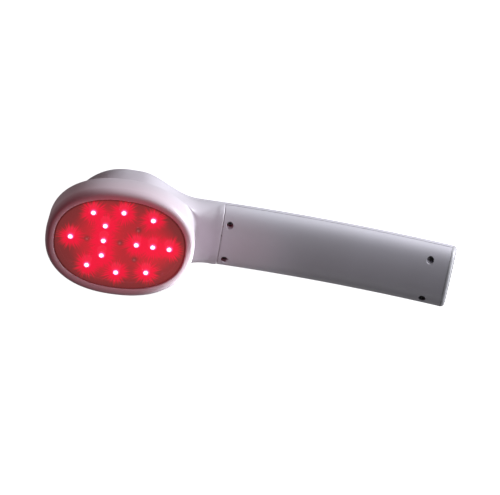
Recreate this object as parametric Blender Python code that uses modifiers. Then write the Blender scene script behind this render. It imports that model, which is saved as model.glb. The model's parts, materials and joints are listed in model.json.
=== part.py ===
# Handheld LED facial device: an oval lit head on a round pod, a neck and a bowed handle.
# Metres, +Z up. The device lies on its back with the window up, and its handle runs along +X.
# Pieces are modelled in the device's own frame: x along the handle from the window's centre,
# y across it, z out of the window's front face. One empty then tilts that frame to rest.
import bpy
import bmesh
from math import atan2, cos, hypot, pi, sin, sqrt
from mathutils import Matrix, Vector

# Window and head
WINDOW_HALF_LENGTH = 0.0374
WINDOW_HALF_WIDTH = 0.0278
WINDOW_THICKNESS = 0.0015
WINDOW_CHAMFER = 0.0003
LIP_END_WIDTH = 0.0049
LIP_SIDE_WIDTH = 0.0055
HEAD_WIDEST_DEPTH = 0.0045
LIP_RISE = 0.0008
LIP_CREST_SHARE = 0.4
SKIRT_END_INSET = 0.0005
SKIRT_SIDE_INSET = 0.0009
SKIRT_DEPTH = 0.0180
SHOULDER_RADIUS = 0.0024
GROOVE_DEPTH = 0.0016
GROOVE_PULL_SHARE = 0.75
NECK_PULL_SHARE = 0.4
FLARE_FULL_TURN = pi / 12
FLARE_GONE_TURN = pi / 3.6
ARCH_TURN = pi / 14
LEDGE_WIDTH = 0.0025
OVAL_POWER = 2.27

# Neck, pod and handle
SPINE_DEPTH = 0.0323
BEND_START = 0.0380
BEND_RADIUS = 0.7400
PARTING_STATION = 0.0575
HANDLE_END_STATION = 0.1905
HANDLE_HALF_WIDTH = 0.0189
HANDLE_HALF_THICKNESS = 0.0132
HANDLE_POWER = 2.2
POD_RADIUS = 0.0315
POD_BACK = 0.0170
POD_FADE_LENGTH = 0.0700
NECK_BLEND_START = 0.0080
NECK_BLEND_END = 0.0440
COVER_STEP = 0.0002

# Walls and the laps where the shells meet
WALL = 0.0020
GAP = 0.0003
TONGUE_INSET = 0.00115
TONGUE_RISE = 0.0012
CUT_OVERRUN = 0.0010

# End cap and charging jack
END_CAP_THICKNESS = 0.0022
END_CAP_ROUND = 0.0011
SPIGOT_LENGTH = 0.0035
SPIGOT_WALL = 0.0013
JACK_SIDE = 0.0007
JACK_LENGTH = 0.0100
JACK_NOSE_WALL = 0.0010
JACK_BORE_RADIUS = 0.0028
JACK_BORE_DEPTH = 0.0090
JACK_PIN_RADIUS = 0.0010
JACK_COLLAR_WALL = 0.0012
JACK_COLLAR_LENGTH = 0.0060
JACK_PIN_TIP_SHARE = 0.6

# Diodes and the board that carries them
DIODE_ALONG_SHARE = 0.2505
DIODE_ACROSS_SHARE = 0.3371
DIODE_RADIUS = 0.0025
DIODE_FLANGE_WIDTH = 0.0004
DIODE_FLANGE_HEIGHT = 0.0010
DIODE_HEIGHT = 0.0076
DIODE_TIP_CLEARANCE = 0.0005
BOARD_THICKNESS = 0.0016
BOARD_CLEARANCE = 0.0006
GASKET_THICKNESS = 0.0008
POST_WALL = 0.0010
POST_TURN_SHARE = 0.2

# Screws
SCREW_RADIUS = 0.0010
SCREW_HEAD_RADIUS = 0.0017
SCREW_HEAD_HEIGHT = 0.0013
SCREW_HEAD_SHARES = ((0.0, 1.0), (0.75, 0.85), (1.0, 0.35), (1.0, 0.0))
COVER_SCREW_LENGTH = 0.0100
BOARD_SCREW_LENGTH = 0.0050
COVER_SCREW_SEAT = 0.0065
SCREW_TUBE_WALL = 0.0011
SCREW_TUBE_FLOOR = 0.0018
BOSS_WALL = 0.0014
NECK_SCREW_DISTANCE = 0.0040
NECK_SCREW_INSET = 0.0079
END_SCREW_DISTANCE = 0.0109
END_SCREW_INSET = 0.0064

# Driver board, switch and button
DRIVER_SCREW_CLEARANCE = 0.0065
DRIVER_CELL_CLEARANCE = 0.0025
DRIVER_SIDE_CLEARANCE = 0.0059
BUTTON_PLACE_SHARE = 0.72
BUTTON_RADIUS = 0.0055
BUTTON_DISH_MARGIN = 0.0030
BUTTON_DISH_DEPTH = 0.0005
BUTTON_SUNK = 0.0003
BUTTON_FLANGE_WIDTH = 0.0012
BUTTON_FLANGE_HEIGHT = 0.0010
BUTTON_ROUND = 0.0005
SWITCH_WIDTH = 0.0060
SWITCH_HEIGHT = 0.0034
PLUNGER_RADIUS = 0.0017
PLUNGER_RISE = 0.0010
PLUNGER_LENGTH = 0.0020
PLUNGER_ROOM = 0.0010
DRIVER_POST_WALL = 0.0011
DRIVER_POST_INSET = 0.0040
DRIVER_POST_SIDE_INSET = 0.0030
CHIP_WIDTH = 0.0060
CHIP_HEIGHT = 0.0016
INDUCTOR_RADIUS = 0.0040
INDUCTOR_HEIGHT = 0.0045
CAPACITOR_RADIUS = 0.0025
CAPACITOR_HEIGHT = 0.0060
COMPONENT_RIM_SHARE = 0.17

# Cell
CELL_END_CLEARANCE = 0.0210
CELL_LENGTH = 0.0490
CELL_RADIUS = 0.0070
CELL_NUB_RADIUS = 0.0025
CELL_NUB_LENGTH = 0.0010
SADDLE_THICKNESS = 0.0020
SADDLE_ARM = 0.0015
SADDLE_RISE = 0.0040
SADDLE_INSET = 0.0100
PAD_HALF_WIDTH = 0.0040
PAD_LENGTH = 0.0340

# Inner leads
LEAD_RADIUS = 0.0006
LEAD_SPREAD = 0.0030
JACK_LEAD_SPREAD = 0.0048

# Facets
OVAL_STEPS = 44
LEDGE_STEPS = 3
LIP_STEPS = 5
OUTER_FALL_STEPS = 7
OUTER_SHOULDER_STEPS = 3
INNER_FALL_STEPS = 4
INNER_SHOULDER_STEPS = 2
FRONT_STEPS = 14
BACK_STEPS = 13
POD_STEPS = 9
NECK_STEPS = 10
HANDLE_STEPS = 10
ROUND_STEPS = 20
SMALL_STEPS = 10

# Sizes that follow from those above
head_half_length = WINDOW_HALF_LENGTH + LIP_END_WIDTH
head_half_width = WINDOW_HALF_WIDTH + LIP_SIDE_WIDTH
skirt_half_length = head_half_length - SKIRT_END_INSET
skirt_half_width = head_half_width - SKIRT_SIDE_INSET
board_half_length = skirt_half_length - WALL - BOARD_CLEARANCE
board_half_width = skirt_half_width - WALL - BOARD_CLEARANCE
pitch_along = WINDOW_HALF_LENGTH * DIODE_ALONG_SHARE
pitch_across = WINDOW_HALF_WIDTH * DIODE_ACROSS_SHARE
flange_radius_diode = DIODE_RADIUS + DIODE_FLANGE_WIDTH
pilot_radius = SCREW_RADIUS + GAP
counterbore_radius = SCREW_HEAD_RADIUS + GAP
post_radius = pilot_radius + POST_WALL
boss_radius = pilot_radius + BOSS_WALL
screw_tube_radius = counterbore_radius + SCREW_TUBE_WALL
neck_screw_station = PARTING_STATION + NECK_SCREW_DISTANCE
neck_screw_offset = HANDLE_HALF_WIDTH - NECK_SCREW_INSET
end_screw_station = HANDLE_END_STATION - END_SCREW_DISTANCE
end_screw_offset = HANDLE_HALF_WIDTH - END_SCREW_INSET
cell_start = HANDLE_END_STATION - CELL_END_CLEARANCE - CELL_LENGTH
driver_start = neck_screw_station + DRIVER_SCREW_CLEARANCE
driver_length = cell_start - DRIVER_CELL_CLEARANCE - driver_start
driver_half_width = HANDLE_HALF_WIDTH - WALL - DRIVER_SIDE_CLEARANCE
driver_post_radius = pilot_radius + DRIVER_POST_WALL
driver_post_offset = driver_half_width - DRIVER_POST_SIDE_INSET
button_station = driver_start + driver_length * BUTTON_PLACE_SHARE
button_dish_radius = BUTTON_RADIUS + BUTTON_DISH_MARGIN
saddle_half_width = CELL_RADIUS + SADDLE_ARM
jack_nose_radius = JACK_BORE_RADIUS + JACK_NOSE_WALL
jack_half = jack_nose_radius + JACK_SIDE

COLOURS = {
    "shell": (0.80, 0.77, 0.83, 1.0),
    "window": (0.75, 0.05, 0.07, 1.0),
    "gasket": (0.03, 0.03, 0.03, 1.0),
    "board": (0.05, 0.05, 0.06, 1.0),
    "red diode": (0.90, 0.06, 0.10, 1.0),
    "infrared diode": (0.45, 0.30, 0.32, 1.0),
    "steel": (0.55, 0.55, 0.56, 1.0),
    "driver board": (0.03, 0.20, 0.07, 1.0),
    "chip": (0.02, 0.02, 0.02, 1.0),
    "button": (0.72, 0.70, 0.76, 1.0),
    "cell": (0.10, 0.22, 0.55, 1.0),
    "foam": (0.12, 0.12, 0.12, 1.0),
    "red lead": (0.60, 0.02, 0.02, 1.0),
    "black lead": (0.02, 0.02, 0.02, 1.0),
}
METALS = {"steel"}
SATIN_ROUGHNESS = 0.35


def new_collection(name):
    made = bpy.data.collections.new(name)
    bpy.context.scene.collection.children.link(made)
    return made


def material(name):
    made = bpy.data.materials.new(name)
    made.use_nodes = True
    shader = made.node_tree.nodes["Principled BSDF"]
    shader.inputs["Base Color"].default_value = COLOURS[name]
    shader.inputs["Roughness"].default_value = SATIN_ROUGHNESS
    shader.inputs["Metallic"].default_value = 1.0 if name in METALS else 0.0
    made.diffuse_color = COLOURS[name]
    return made


for old in list(bpy.data.objects):
    bpy.data.objects.remove(old)
parts = new_collection("led_facial_device")
cutters = new_collection("cutters")
finishes = {name: material(name) for name in COLOURS}
carrier = bpy.data.objects.new("device_frame", None)
parts.objects.link(carrier)


# Objects and meshes

def new_object(name, data, finish):
    """A part where finish names its colour, or a cutter where it is None."""
    made = bpy.data.objects.new(name, data)
    if finish is None:
        cutters.objects.link(made)
        made.hide_render = True
        made.display_type = "WIRE"
    else:
        parts.objects.link(made)
        data.materials.append(finishes[finish])
    made.parent = carrier
    return made


def mesh_object(name, grid, finish, smooth_angle=pi / 6):
    bmesh.ops.remove_doubles(grid, verts=grid.verts, dist=GAP / 100)
    bmesh.ops.recalc_face_normals(grid, faces=grid.faces)
    mesh = bpy.data.meshes.new(name)
    grid.to_mesh(mesh)
    grid.free()
    mesh.shade_smooth()
    mesh.set_sharp_from_angle(angle=smooth_angle)
    return new_object(name, mesh, finish)


def loft(name, rings, finish, joined=False, capped=True):
    """Skins closed rings of equal length, end to end, and caps both ends or joins them."""
    grid = bmesh.new()
    rows = [[grid.verts.new(point) for point in ring] for ring in rings]
    pairs = list(zip(rows, rows[1:]))
    if joined:
        pairs.append((rows[-1], rows[0]))
    for near, far in pairs:
        for index in range(len(near)):
            after = (index + 1) % len(near)
            grid.faces.new((near[index], near[after], far[after], far[index]))
    if capped and not joined:
        grid.faces.new(rows[0])
        grid.faces.new(list(reversed(rows[-1])))
    return mesh_object(name, grid, finish)


def turned(name, profile, finish, steps=ROUND_STEPS):
    """A Screw of a profile that runs down its outer side from the axis back to the axis."""
    mesh = bpy.data.meshes.new(name)
    edges = [(index, index + 1) for index in range(len(profile) - 1)]
    mesh.from_pydata([(radius, 0.0, height) for radius, height in profile], edges, [])
    made = new_object(name, mesh, finish)
    screw = made.modifiers.new("turn", "SCREW")
    screw.steps = steps
    screw.render_steps = steps
    screw.use_merge_vertices = True
    screw.merge_threshold = GAP / 30
    screw.use_smooth_shade = False
    return made


def add_cylinder(grid, centre, radius, low, high, steps=ROUND_STEPS):
    """A closed cylinder along Z from low to high, at a centre in x and y."""
    place = Matrix.Translation((centre[0], centre[1], (low + high) / 2))
    bmesh.ops.create_cone(
        grid, cap_ends=True, segments=steps, radius1=radius, radius2=radius,
        depth=high - low, matrix=place,
    )


def add_box(grid, low, high):
    """A closed box between two corners."""
    middle = (Vector(low) + Vector(high)) / 2
    size = Vector(high) - Vector(low)
    place = Matrix.Translation(middle) @ Matrix.Diagonal((*size, 1.0))
    bmesh.ops.create_cube(grid, size=1.0, matrix=place)


def cylinders(name, places, radius, low, high, finish=None, steps=ROUND_STEPS):
    grid = bmesh.new()
    for centre in places:
        add_cylinder(grid, centre, radius, low, high, steps)
    return mesh_object(name, grid, finish)


def box(name, low, high, finish=None):
    grid = bmesh.new()
    add_box(grid, low, high)
    return mesh_object(name, grid, finish)


def combine(target, other, operation):
    step = target.modifiers.new(other.name, "BOOLEAN")
    step.operation = operation
    step.solver = "EXACT"
    step.object = other


# Outlines

def oval_point(half_length, half_width, turn, depth):
    """The point of a squarish oval in the direction turn, at a depth below the window's face."""
    reach = abs(cos(turn) / half_length) ** OVAL_POWER + abs(sin(turn) / half_width) ** OVAL_POWER
    radius = reach ** (-1 / OVAL_POWER)
    return Vector((radius * cos(turn), radius * sin(turn), -depth))


def window_point(margin, turn, depth):
    return oval_point(WINDOW_HALF_LENGTH + margin, WINDOW_HALF_WIDTH + margin, turn, depth)


def oval_ring(margin, depth):
    turns = [2 * pi * step / OVAL_STEPS for step in range(OVAL_STEPS)]
    return [window_point(margin, turn, depth) for turn in turns]


def signed_power(value, power):
    size = abs(value) ** power
    return size if value >= 0 else -size


def smooth_share(value, start, end):
    share = min(max((value - start) / (end - start), 0.0), 1.0)
    return share * share * (3 - 2 * share)


# The spine runs straight behind the head and then bends towards the window's side.

def spine_turn(station):
    return max(station - BEND_START, 0.0) / BEND_RADIUS


def spine_matrix(station):
    """A frame on the spine: X along it, Z towards the window's side."""
    turn = spine_turn(station)
    along = min(station, BEND_START) + BEND_RADIUS * sin(turn)
    height = -SPINE_DEPTH + BEND_RADIUS * (1 - cos(turn))
    return Matrix.Translation((along, 0.0, height)) @ Matrix.Rotation(-turn, 4, "Y")


def half_width(station):
    """Half the width at a station: the pod's, drawn in to the handle's along the neck."""
    stretched = POD_RADIUS * sqrt(max(1 - (station / POD_FADE_LENGTH) ** 2, 0.0))
    share = smooth_share(station, NECK_BLEND_START, NECK_BLEND_END)
    return stretched * (1 - share) + HANDLE_HALF_WIDTH * share


def half_back(station):
    stretched = POD_BACK * sqrt(max(1 - (station / POD_FADE_LENGTH) ** 2, 0.0))
    share = smooth_share(station, NECK_BLEND_START, NECK_BLEND_END)
    return stretched * (1 - share) + HANDLE_HALF_THICKNESS * share


def section_power(station):
    return 2 + (HANDLE_POWER - 2) * smooth_share(station, NECK_BLEND_START, NECK_BLEND_END)


def front_arch(station, inset, base, steps=FRONT_STEPS):
    """The front half of the handle's section, from +y over the crest to -y, above base."""
    width = HANDLE_HALF_WIDTH - inset
    rise = HANDLE_HALF_THICKNESS - inset - base
    frame = spine_matrix(station)
    points = []
    for step in range(steps + 1):
        turn = pi * step / steps
        across = width * signed_power(cos(turn), 2 / HANDLE_POWER)
        height = base + rise * signed_power(sin(turn), 2 / HANDLE_POWER)
        points.append(frame @ Vector((0.0, across, height)))
    return points


def back_arch(pod_turn, station, inset, steps=BACK_STEPS):
    """The back half of a section, from +y under to -y. Below a quarter turn it rounds the pod."""
    width = (half_width(station) - inset) * sin(pod_turn)
    drop = (half_back(station) - inset) * sin(pod_turn)
    back = (POD_RADIUS - inset) * cos(pod_turn)
    power = 2 / section_power(station)
    frame = spine_matrix(station)
    points = []
    for step in range(steps + 1):
        turn = pi * step / steps
        across = width * signed_power(cos(turn), power)
        height = -drop * signed_power(sin(turn), power)
        points.append(frame @ Vector((-back, across, height)))
    return points


def lap_points(pod_turn, station, side, steps_up):
    """The rim of the back shell at one side: (inset, height) pairs on the seam."""
    frame = spine_matrix(station)
    points = []
    for inset, height in steps_up:
        width = (half_width(station) - inset) * sin(pod_turn)
        back = (POD_RADIUS - inset) * cos(pod_turn)
        points.append(frame @ Vector((-back, side * width, height)))
    return points


def end_ring(station, inset, steps=FRONT_STEPS + BACK_STEPS + 1):
    """A whole handle section, for the end cap."""
    frame = spine_matrix(station)
    points = []
    for step in range(steps):
        turn = 2 * pi * step / steps
        across = (HANDLE_HALF_WIDTH - inset) * signed_power(cos(turn), 2 / HANDLE_POWER)
        height = (HANDLE_HALF_THICKNESS - inset) * signed_power(sin(turn), 2 / HANDLE_POWER)
        points.append(frame @ Vector((0.0, across, height)))
    return points


def inner_height(across):
    """How far from the spine the handle's inner face lies, at a distance to the side."""
    share = (across / (HANDLE_HALF_WIDTH - WALL)) ** HANDLE_POWER
    return (HANDLE_HALF_THICKNESS - WALL) * (1 - share) ** (1 / HANDLE_POWER)


def seat(made, station, across=0.0, height=0.0):
    """Places an object on the spine's frame at a station."""
    made.matrix_local = spine_matrix(station) @ Matrix.Translation((0.0, across, height))
    return made


# Depths that the head's pieces share
gasket_depth = WINDOW_THICKNESS + GAP
ledge_depth = gasket_depth + GASKET_THICKNESS + GAP
ledge_back = ledge_depth + WALL
diode_tip_depth = WINDOW_THICKNESS + DIODE_TIP_CLEARANCE
board_depth = diode_tip_depth + DIODE_HEIGHT + GAP
board_back = board_depth + BOARD_THICKNESS


# Head housing

def neck_places():
    """Stations of the neck's sides, from the pod's middle to just before the parting line."""
    return [(pi / 2, PARTING_STATION * step / NECK_STEPS) for step in range(NECK_STEPS)]


def seam_fan():
    """Where the housing ends: round the neck's arch, down both seams and round the pod."""
    rim = []
    outer = front_arch(PARTING_STATION, 0.0, GAP)
    middle = front_arch(PARTING_STATION, WALL - TONGUE_INSET, GAP)
    inner = front_arch(PARTING_STATION, WALL, GAP)
    for index, point in enumerate(outer):
        at_seam = index in (0, len(outer) - 1)
        lift = Vector((0.0, 0.0, TONGUE_RISE if at_seam else 0.0))
        rim.append((point, middle[index], middle[index] + lift, inner[index] + lift, at_seam))
    places = list(reversed(neck_places()))
    left = [seam_rim(turn, station, -1) for turn, station in places]
    pod = []
    for step in range(1, 2 * POD_STEPS):
        turn = pi / 2 * abs(step - POD_STEPS) / POD_STEPS
        pod.append(seam_rim(turn, 0.0, -1 if step < POD_STEPS else 1))
    right = [seam_rim(turn, station, 1) for turn, station in reversed(places)]
    return rim + left + pod + right


def seam_rim(pod_turn, station, side):
    """Rim points on the seam: the outer half of the wall laps over the back shell's tongue."""
    low = GAP
    high = TONGUE_RISE + GAP
    reach = WALL - TONGUE_INSET
    steps_up = ((0.0, low), (reach, low), (reach, high), (WALL, high))
    return (*lap_points(pod_turn, station, side, steps_up), True)


def housing_path(rim, inset, shoulder_steps, fall_steps):
    """The housing's skin from the skirt to the rim, in one direction from the window's centre."""
    end = rim[0] if inset == 0 else rim[3]
    plan = atan2(rim[0].y, rim[0].x)
    out = Vector((cos(plan), sin(plan), 0.0))
    back = Vector((0.0, 0.0, -1.0))
    from_neck = abs(plan)
    flare = 1 - 2 * smooth_share(from_neck, FLARE_FULL_TURN, FLARE_GONE_TURN)
    skirt = oval_point(skirt_half_length, skirt_half_width, plan, SKIRT_DEPTH) - out * inset
    radius = SHOULDER_RADIUS + flare * inset
    points = []
    for step in range(shoulder_steps + 1):
        turn = pi / 2 * step / shoulder_steps
        bent = out * flare * radius * (1 - cos(turn)) + back * radius * sin(turn)
        points.append(skirt + bent)
    start = points.pop()
    run = hypot(end.x, end.y) - hypot(start.x, start.y)
    if flare > 0:
        pull = out * (flare * NECK_PULL_SHARE * run) + back * ((1 - flare) * SHOULDER_RADIUS)
    else:
        inward = GROOVE_DEPTH + GROOVE_PULL_SHARE * max(-run, 0.0)
        pull = out * (flare * inward) + back * ((1 + flare) * SHOULDER_RADIUS)
    seam_pull = smooth_share(from_neck, ARCH_TURN, 2 * ARCH_TURN)
    along = spine_matrix(PARTING_STATION).to_3x3() @ Vector((-1.0, 0.0, 0.0))
    release = (along * (1 - seam_pull) - back * seam_pull) * SHOULDER_RADIUS * 2
    controls = (start, start + pull, end + release, end)
    for step in range(fall_steps + 1):
        t = step / fall_steps
        weights = ((1 - t) ** 3, 3 * t * (1 - t) ** 2, 3 * t * t * (1 - t), t ** 3)
        points.append(sum((weight * point for weight, point in zip(weights, controls)), Vector()))
    return points


def housing_ring(rim):
    """One closed section of the head housing: ledge, rebate, lip, skirt, shoulder and rim."""
    plan = atan2(rim[0].y, rim[0].x)
    lip_length = head_half_length - WINDOW_HALF_LENGTH
    lip_width = head_half_width - WINDOW_HALF_WIDTH
    crest_length = WINDOW_HALF_LENGTH + LIP_CREST_SHARE * lip_length
    crest_width = WINDOW_HALF_WIDTH + LIP_CREST_SHARE * lip_width
    points = [window_point(-LEDGE_WIDTH, plan, ledge_depth), window_point(0.0, plan, ledge_depth)]
    for step in range(LEDGE_STEPS):
        turn = pi / 2 * step / LEDGE_STEPS
        length = crest_length - (crest_length - WINDOW_HALF_LENGTH) * cos(turn)
        width = crest_width - (crest_width - WINDOW_HALF_WIDTH) * cos(turn)
        points.append(oval_point(length, width, plan, -LIP_RISE * sin(turn)))
    for step in range(LIP_STEPS + 1):
        turn = pi / 2 * step / LIP_STEPS
        length = crest_length + (head_half_length - crest_length) * sin(turn)
        width = crest_width + (head_half_width - crest_width) * sin(turn)
        drop = LIP_RISE + HEAD_WIDEST_DEPTH
        points.append(oval_point(length, width, plan, HEAD_WIDEST_DEPTH - drop * cos(turn)))
    points += housing_path(rim, 0.0, OUTER_SHOULDER_STEPS, OUTER_FALL_STEPS)
    points += [rim[1], rim[2]]
    points += list(reversed(housing_path(rim, WALL, INNER_SHOULDER_STEPS, INNER_FALL_STEPS)))
    inner_length = head_half_length - WALL
    inner_width = head_half_width - WALL
    points.append(oval_point(inner_length, inner_width, plan, ledge_back + WALL / 2))
    points.append(oval_point(inner_length - WALL / 2, inner_width - WALL / 2, plan, ledge_back))
    points.append(window_point(-LEDGE_WIDTH, plan, ledge_back))
    return points


def post_places():
    """The four posts that carry the diode board, on the window's outline."""
    turns = [side + end * POST_TURN_SHARE * pi for side in (0.0, pi) for end in (1, -1)]
    return [window_point(0.0, turn, 0.0) for turn in turns]


housing_rings = [housing_ring(rim) for rim in seam_fan()]
head_housing = loft("head_housing", housing_rings, "shell", joined=True)
posts = cylinders("board_posts", post_places(), post_radius, -board_depth + GAP, -ledge_back + WALL / 2)
combine(head_housing, posts, "UNION")
pilot_end = board_back + GAP - BOARD_SCREW_LENGTH - GAP
pilots = cylinders(
    "board_pilots", post_places(), pilot_radius, -board_back - CUT_OVERRUN, -pilot_end, steps=SMALL_STEPS
)
combine(head_housing, pilots, "DIFFERENCE")

# Window and gasket
window_margin = -GAP
loft(
    "window",
    [
        oval_ring(window_margin, WINDOW_THICKNESS),
        oval_ring(window_margin, WINDOW_CHAMFER),
        oval_ring(window_margin - WINDOW_CHAMFER, 0.0),
    ],
    "window",
)
gasket_low = gasket_depth + GASKET_THICKNESS
loft(
    "window_gasket",
    [
        oval_ring(-GAP, gasket_depth),
        oval_ring(-GAP, gasket_low),
        oval_ring(-LEDGE_WIDTH, gasket_low),
        oval_ring(-LEDGE_WIDTH, gasket_depth),
    ],
    "gasket",
    joined=True,
)


# Diode board and diodes

oval_turns = [2 * pi * step / OVAL_STEPS for step in range(OVAL_STEPS)]
board_rings = [
    [oval_point(board_half_length, board_half_width, turn, depth) for turn in oval_turns]
    for depth in (board_back, board_depth)
]
led_board = loft("led_board", board_rings, "board")
board_holes = cylinders(
    "board_holes", post_places(), pilot_radius, -board_back - CUT_OVERRUN, -board_depth + CUT_OVERRUN,
    steps=SMALL_STEPS,
)
combine(led_board, board_holes, "DIFFERENCE")


def diode_profile():
    dome = DIODE_HEIGHT - DIODE_RADIUS
    points = [
        (DIODE_RADIUS * sin(pi / 2 * step / 3), dome + DIODE_RADIUS * cos(pi / 2 * step / 3))
        for step in range(4)
    ]
    points += [(DIODE_RADIUS, DIODE_FLANGE_HEIGHT), (flange_radius_diode, DIODE_FLANGE_HEIGHT)]
    return points + [(flange_radius_diode, 0.0), (0.0, 0.0)]


def screw_profile(length):
    """A pan head above zero and a plain shank with a short point below it."""
    head = [(SCREW_HEAD_RADIUS * across, SCREW_HEAD_HEIGHT * up) for across, up in SCREW_HEAD_SHARES]
    return head + [(SCREW_RADIUS, 0.0), (SCREW_RADIUS, -length + SCREW_RADIUS), (0.0, -length)]


# Places are shares of the two pitches: a row of seven, a square, and six round them.
RED_PLACE_SHARES = (
    (-3, 0), (-1, 0), (1, 0), (2, 0), (3, 0), (-1, 1), (-1, -1),
    (0, 2.03), (0, -2.03), (-1.81, 1.78), (-1.81, -1.78), (1.81, 1.78), (1.81, -1.78),
)
INFRARED_PLACE_SHARES = ((-2, 0), (0, 0), (1, 1), (1, -1))


def place_diodes(name, shares, finish):
    for number, (along, across) in enumerate(shares, 1):
        made = turned(f"{name}_{number:02d}", diode_profile(), finish, SMALL_STEPS)
        made.location = (along * pitch_along, across * pitch_across, -board_depth + GAP)


place_diodes("led_red", RED_PLACE_SHARES, "red diode")
place_diodes("led_infrared", INFRARED_PLACE_SHARES, "infrared diode")
for number, place in enumerate(post_places(), 1):
    made = turned(f"led_board_screw_{number}", screw_profile(BOARD_SCREW_LENGTH), "steel", SMALL_STEPS)
    made.location = (place.x, place.y, -board_back - GAP)
    made.rotation_euler = (pi, 0.0, 0.0)


# Back shell

def back_ring(pod_turn, station):
    tongue = ((TONGUE_INSET, 0.0), (TONGUE_INSET, TONGUE_RISE), (WALL, TONGUE_RISE))
    right = lap_points(pod_turn, station, 1, tongue)
    left = lap_points(pod_turn, station, -1, tongue)
    outer = back_arch(pod_turn, station, 0.0)
    inner = back_arch(pod_turn, station, WALL)
    return outer + left + list(reversed(inner)) + list(reversed(right))


def handle_stations(start):
    run = HANDLE_END_STATION - start
    return [start + run * step / HANDLE_STEPS for step in range(HANDLE_STEPS + 1)]


def back_places():
    """Pairs of pod turn and station: round the pod, along the neck and along the handle."""
    pod = [(pi / 2 * step / POD_STEPS, 0.0) for step in range(POD_STEPS)]
    return pod + neck_places() + [(pi / 2, station) for station in handle_stations(PARTING_STATION)]


tube_low = COVER_SCREW_SEAT - SCREW_TUBE_FLOOR
boss_top = tube_low - GAP
core_inset = WALL / 2
flange_radius = BUTTON_RADIUS + GAP + BUTTON_FLANGE_WIDTH
flange_back = inner_height(flange_radius) - GAP
plunger_tip = -(flange_back - BUTTON_FLANGE_HEIGHT - GAP)
switch_low = plunger_tip + PLUNGER_RISE
driver_back = -switch_low - SWITCH_HEIGHT - GAP
driver_front = driver_back - BOARD_THICKNESS
driver_middle = driver_start + driver_length / 2


def core(name, first, last):
    """The space inside the walls from one station to another, less half a wall."""
    stations = [first + (last - first) * step / 4 for step in range(5)]
    return loft(name, [end_ring(station, core_inset) for station in stations], None)


def standing(name, station, places, radius, low, high, first, last):
    """Cylinders square to the spine, trimmed to the walls' middle."""
    made = cylinders(name, places, radius, low, high, steps=SMALL_STEPS + 4)
    seat(made, station)
    combine(made, core(f"{name}_core", first, last), "INTERSECT")
    return made


back_shell = loft("back_shell", [back_ring(*place) for place in back_places()], "shell", capped=False)


def close_end(made, ring):
    """Fills the open end of a lofted shell, whose rim is one flat loop."""
    grid = bmesh.new()
    grid.from_mesh(made.data)
    corners = []
    grid.verts.ensure_lookup_table()
    for point in ring:
        corners.append(min(grid.verts, key=lambda vert: (vert.co - point).length_squared))
    grid.faces.new(corners)
    bmesh.ops.recalc_face_normals(grid, faces=grid.faces)
    grid.to_mesh(made.data)
    grid.free()


close_end(back_shell, back_ring(*back_places()[-1]))
deep = HANDLE_HALF_THICKNESS * 2
screw_pairs = ((neck_screw_station, neck_screw_offset), (end_screw_station, end_screw_offset))
screw_places = [(station, side * offset) for station, offset in screw_pairs for side in (1, -1)]
screw_floor = COVER_SCREW_SEAT + GAP - COVER_SCREW_LENGTH
for number, (station, offset) in enumerate(screw_pairs, 1):
    pair = ((0.0, offset), (0.0, -offset))
    first = station - boss_radius * 2
    last = station + boss_radius * 2
    bosses = standing(f"cover_bosses_{number}", station, pair, boss_radius, -deep, boss_top, first, last)
    combine(back_shell, bosses, "UNION")
    holes = cylinders(
        f"cover_boss_pilots_{number}", pair, pilot_radius, screw_floor - GAP, boss_top + CUT_OVERRUN,
        steps=SMALL_STEPS,
    )
    combine(back_shell, seat(holes, station), "DIFFERENCE")

# Posts of the driver board, and its screws
post_run = driver_length / 2 - DRIVER_POST_INSET
driver_posts = ((-post_run, driver_post_offset), (post_run, -driver_post_offset))
posts = standing(
    "driver_posts", driver_middle, driver_posts, driver_post_radius, -deep, -driver_back - GAP,
    driver_start, driver_start + driver_length,
)
combine(back_shell, posts, "UNION")
driver_screw_end = -driver_front + GAP - BOARD_SCREW_LENGTH
holes = cylinders(
    "driver_post_pilots", driver_posts, pilot_radius, driver_screw_end - GAP, -driver_back + CUT_OVERRUN,
    steps=SMALL_STEPS,
)
combine(back_shell, seat(holes, driver_middle), "DIFFERENCE")

# Saddles under the cell
cell_middle = cell_start + CELL_LENGTH / 2
saddle_run = CELL_LENGTH / 2 - SADDLE_INSET
grid = bmesh.new()
for side in (-1, 1):
    low = (side * saddle_run - SADDLE_THICKNESS / 2, -saddle_half_width, -deep)
    high = (side * saddle_run + SADDLE_THICKNESS / 2, saddle_half_width, -CELL_RADIUS + SADDLE_RISE)
    add_box(grid, low, high)
saddles = seat(mesh_object("saddles", grid, None), cell_middle)
combine(saddles, core("saddles_core", cell_start, cell_start + CELL_LENGTH), "INTERSECT")
hollow = turned(
    "saddle_hollow",
    [
        (0.0, CELL_LENGTH / 2), (CELL_RADIUS + GAP, CELL_LENGTH / 2),
        (CELL_RADIUS + GAP, -CELL_LENGTH / 2), (0.0, -CELL_LENGTH / 2),
    ],
    None,
)
hollow.matrix_local = spine_matrix(cell_middle) @ Matrix.Rotation(pi / 2, 4, "Y")
combine(saddles, hollow, "DIFFERENCE")
combine(back_shell, saddles, "UNION")

# The button's dish and hole
dish_floor = HANDLE_HALF_THICKNESS - BUTTON_DISH_DEPTH
dish = cylinders("button_dish", [(0.0, 0.0)], button_dish_radius, -deep, -dish_floor)
combine(back_shell, seat(dish, button_station), "DIFFERENCE")
hole = cylinders("button_hole", [(0.0, 0.0)], BUTTON_RADIUS + GAP, -deep, -driver_back)
combine(back_shell, seat(hole, button_station), "DIFFERENCE")


# Handle cover

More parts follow.
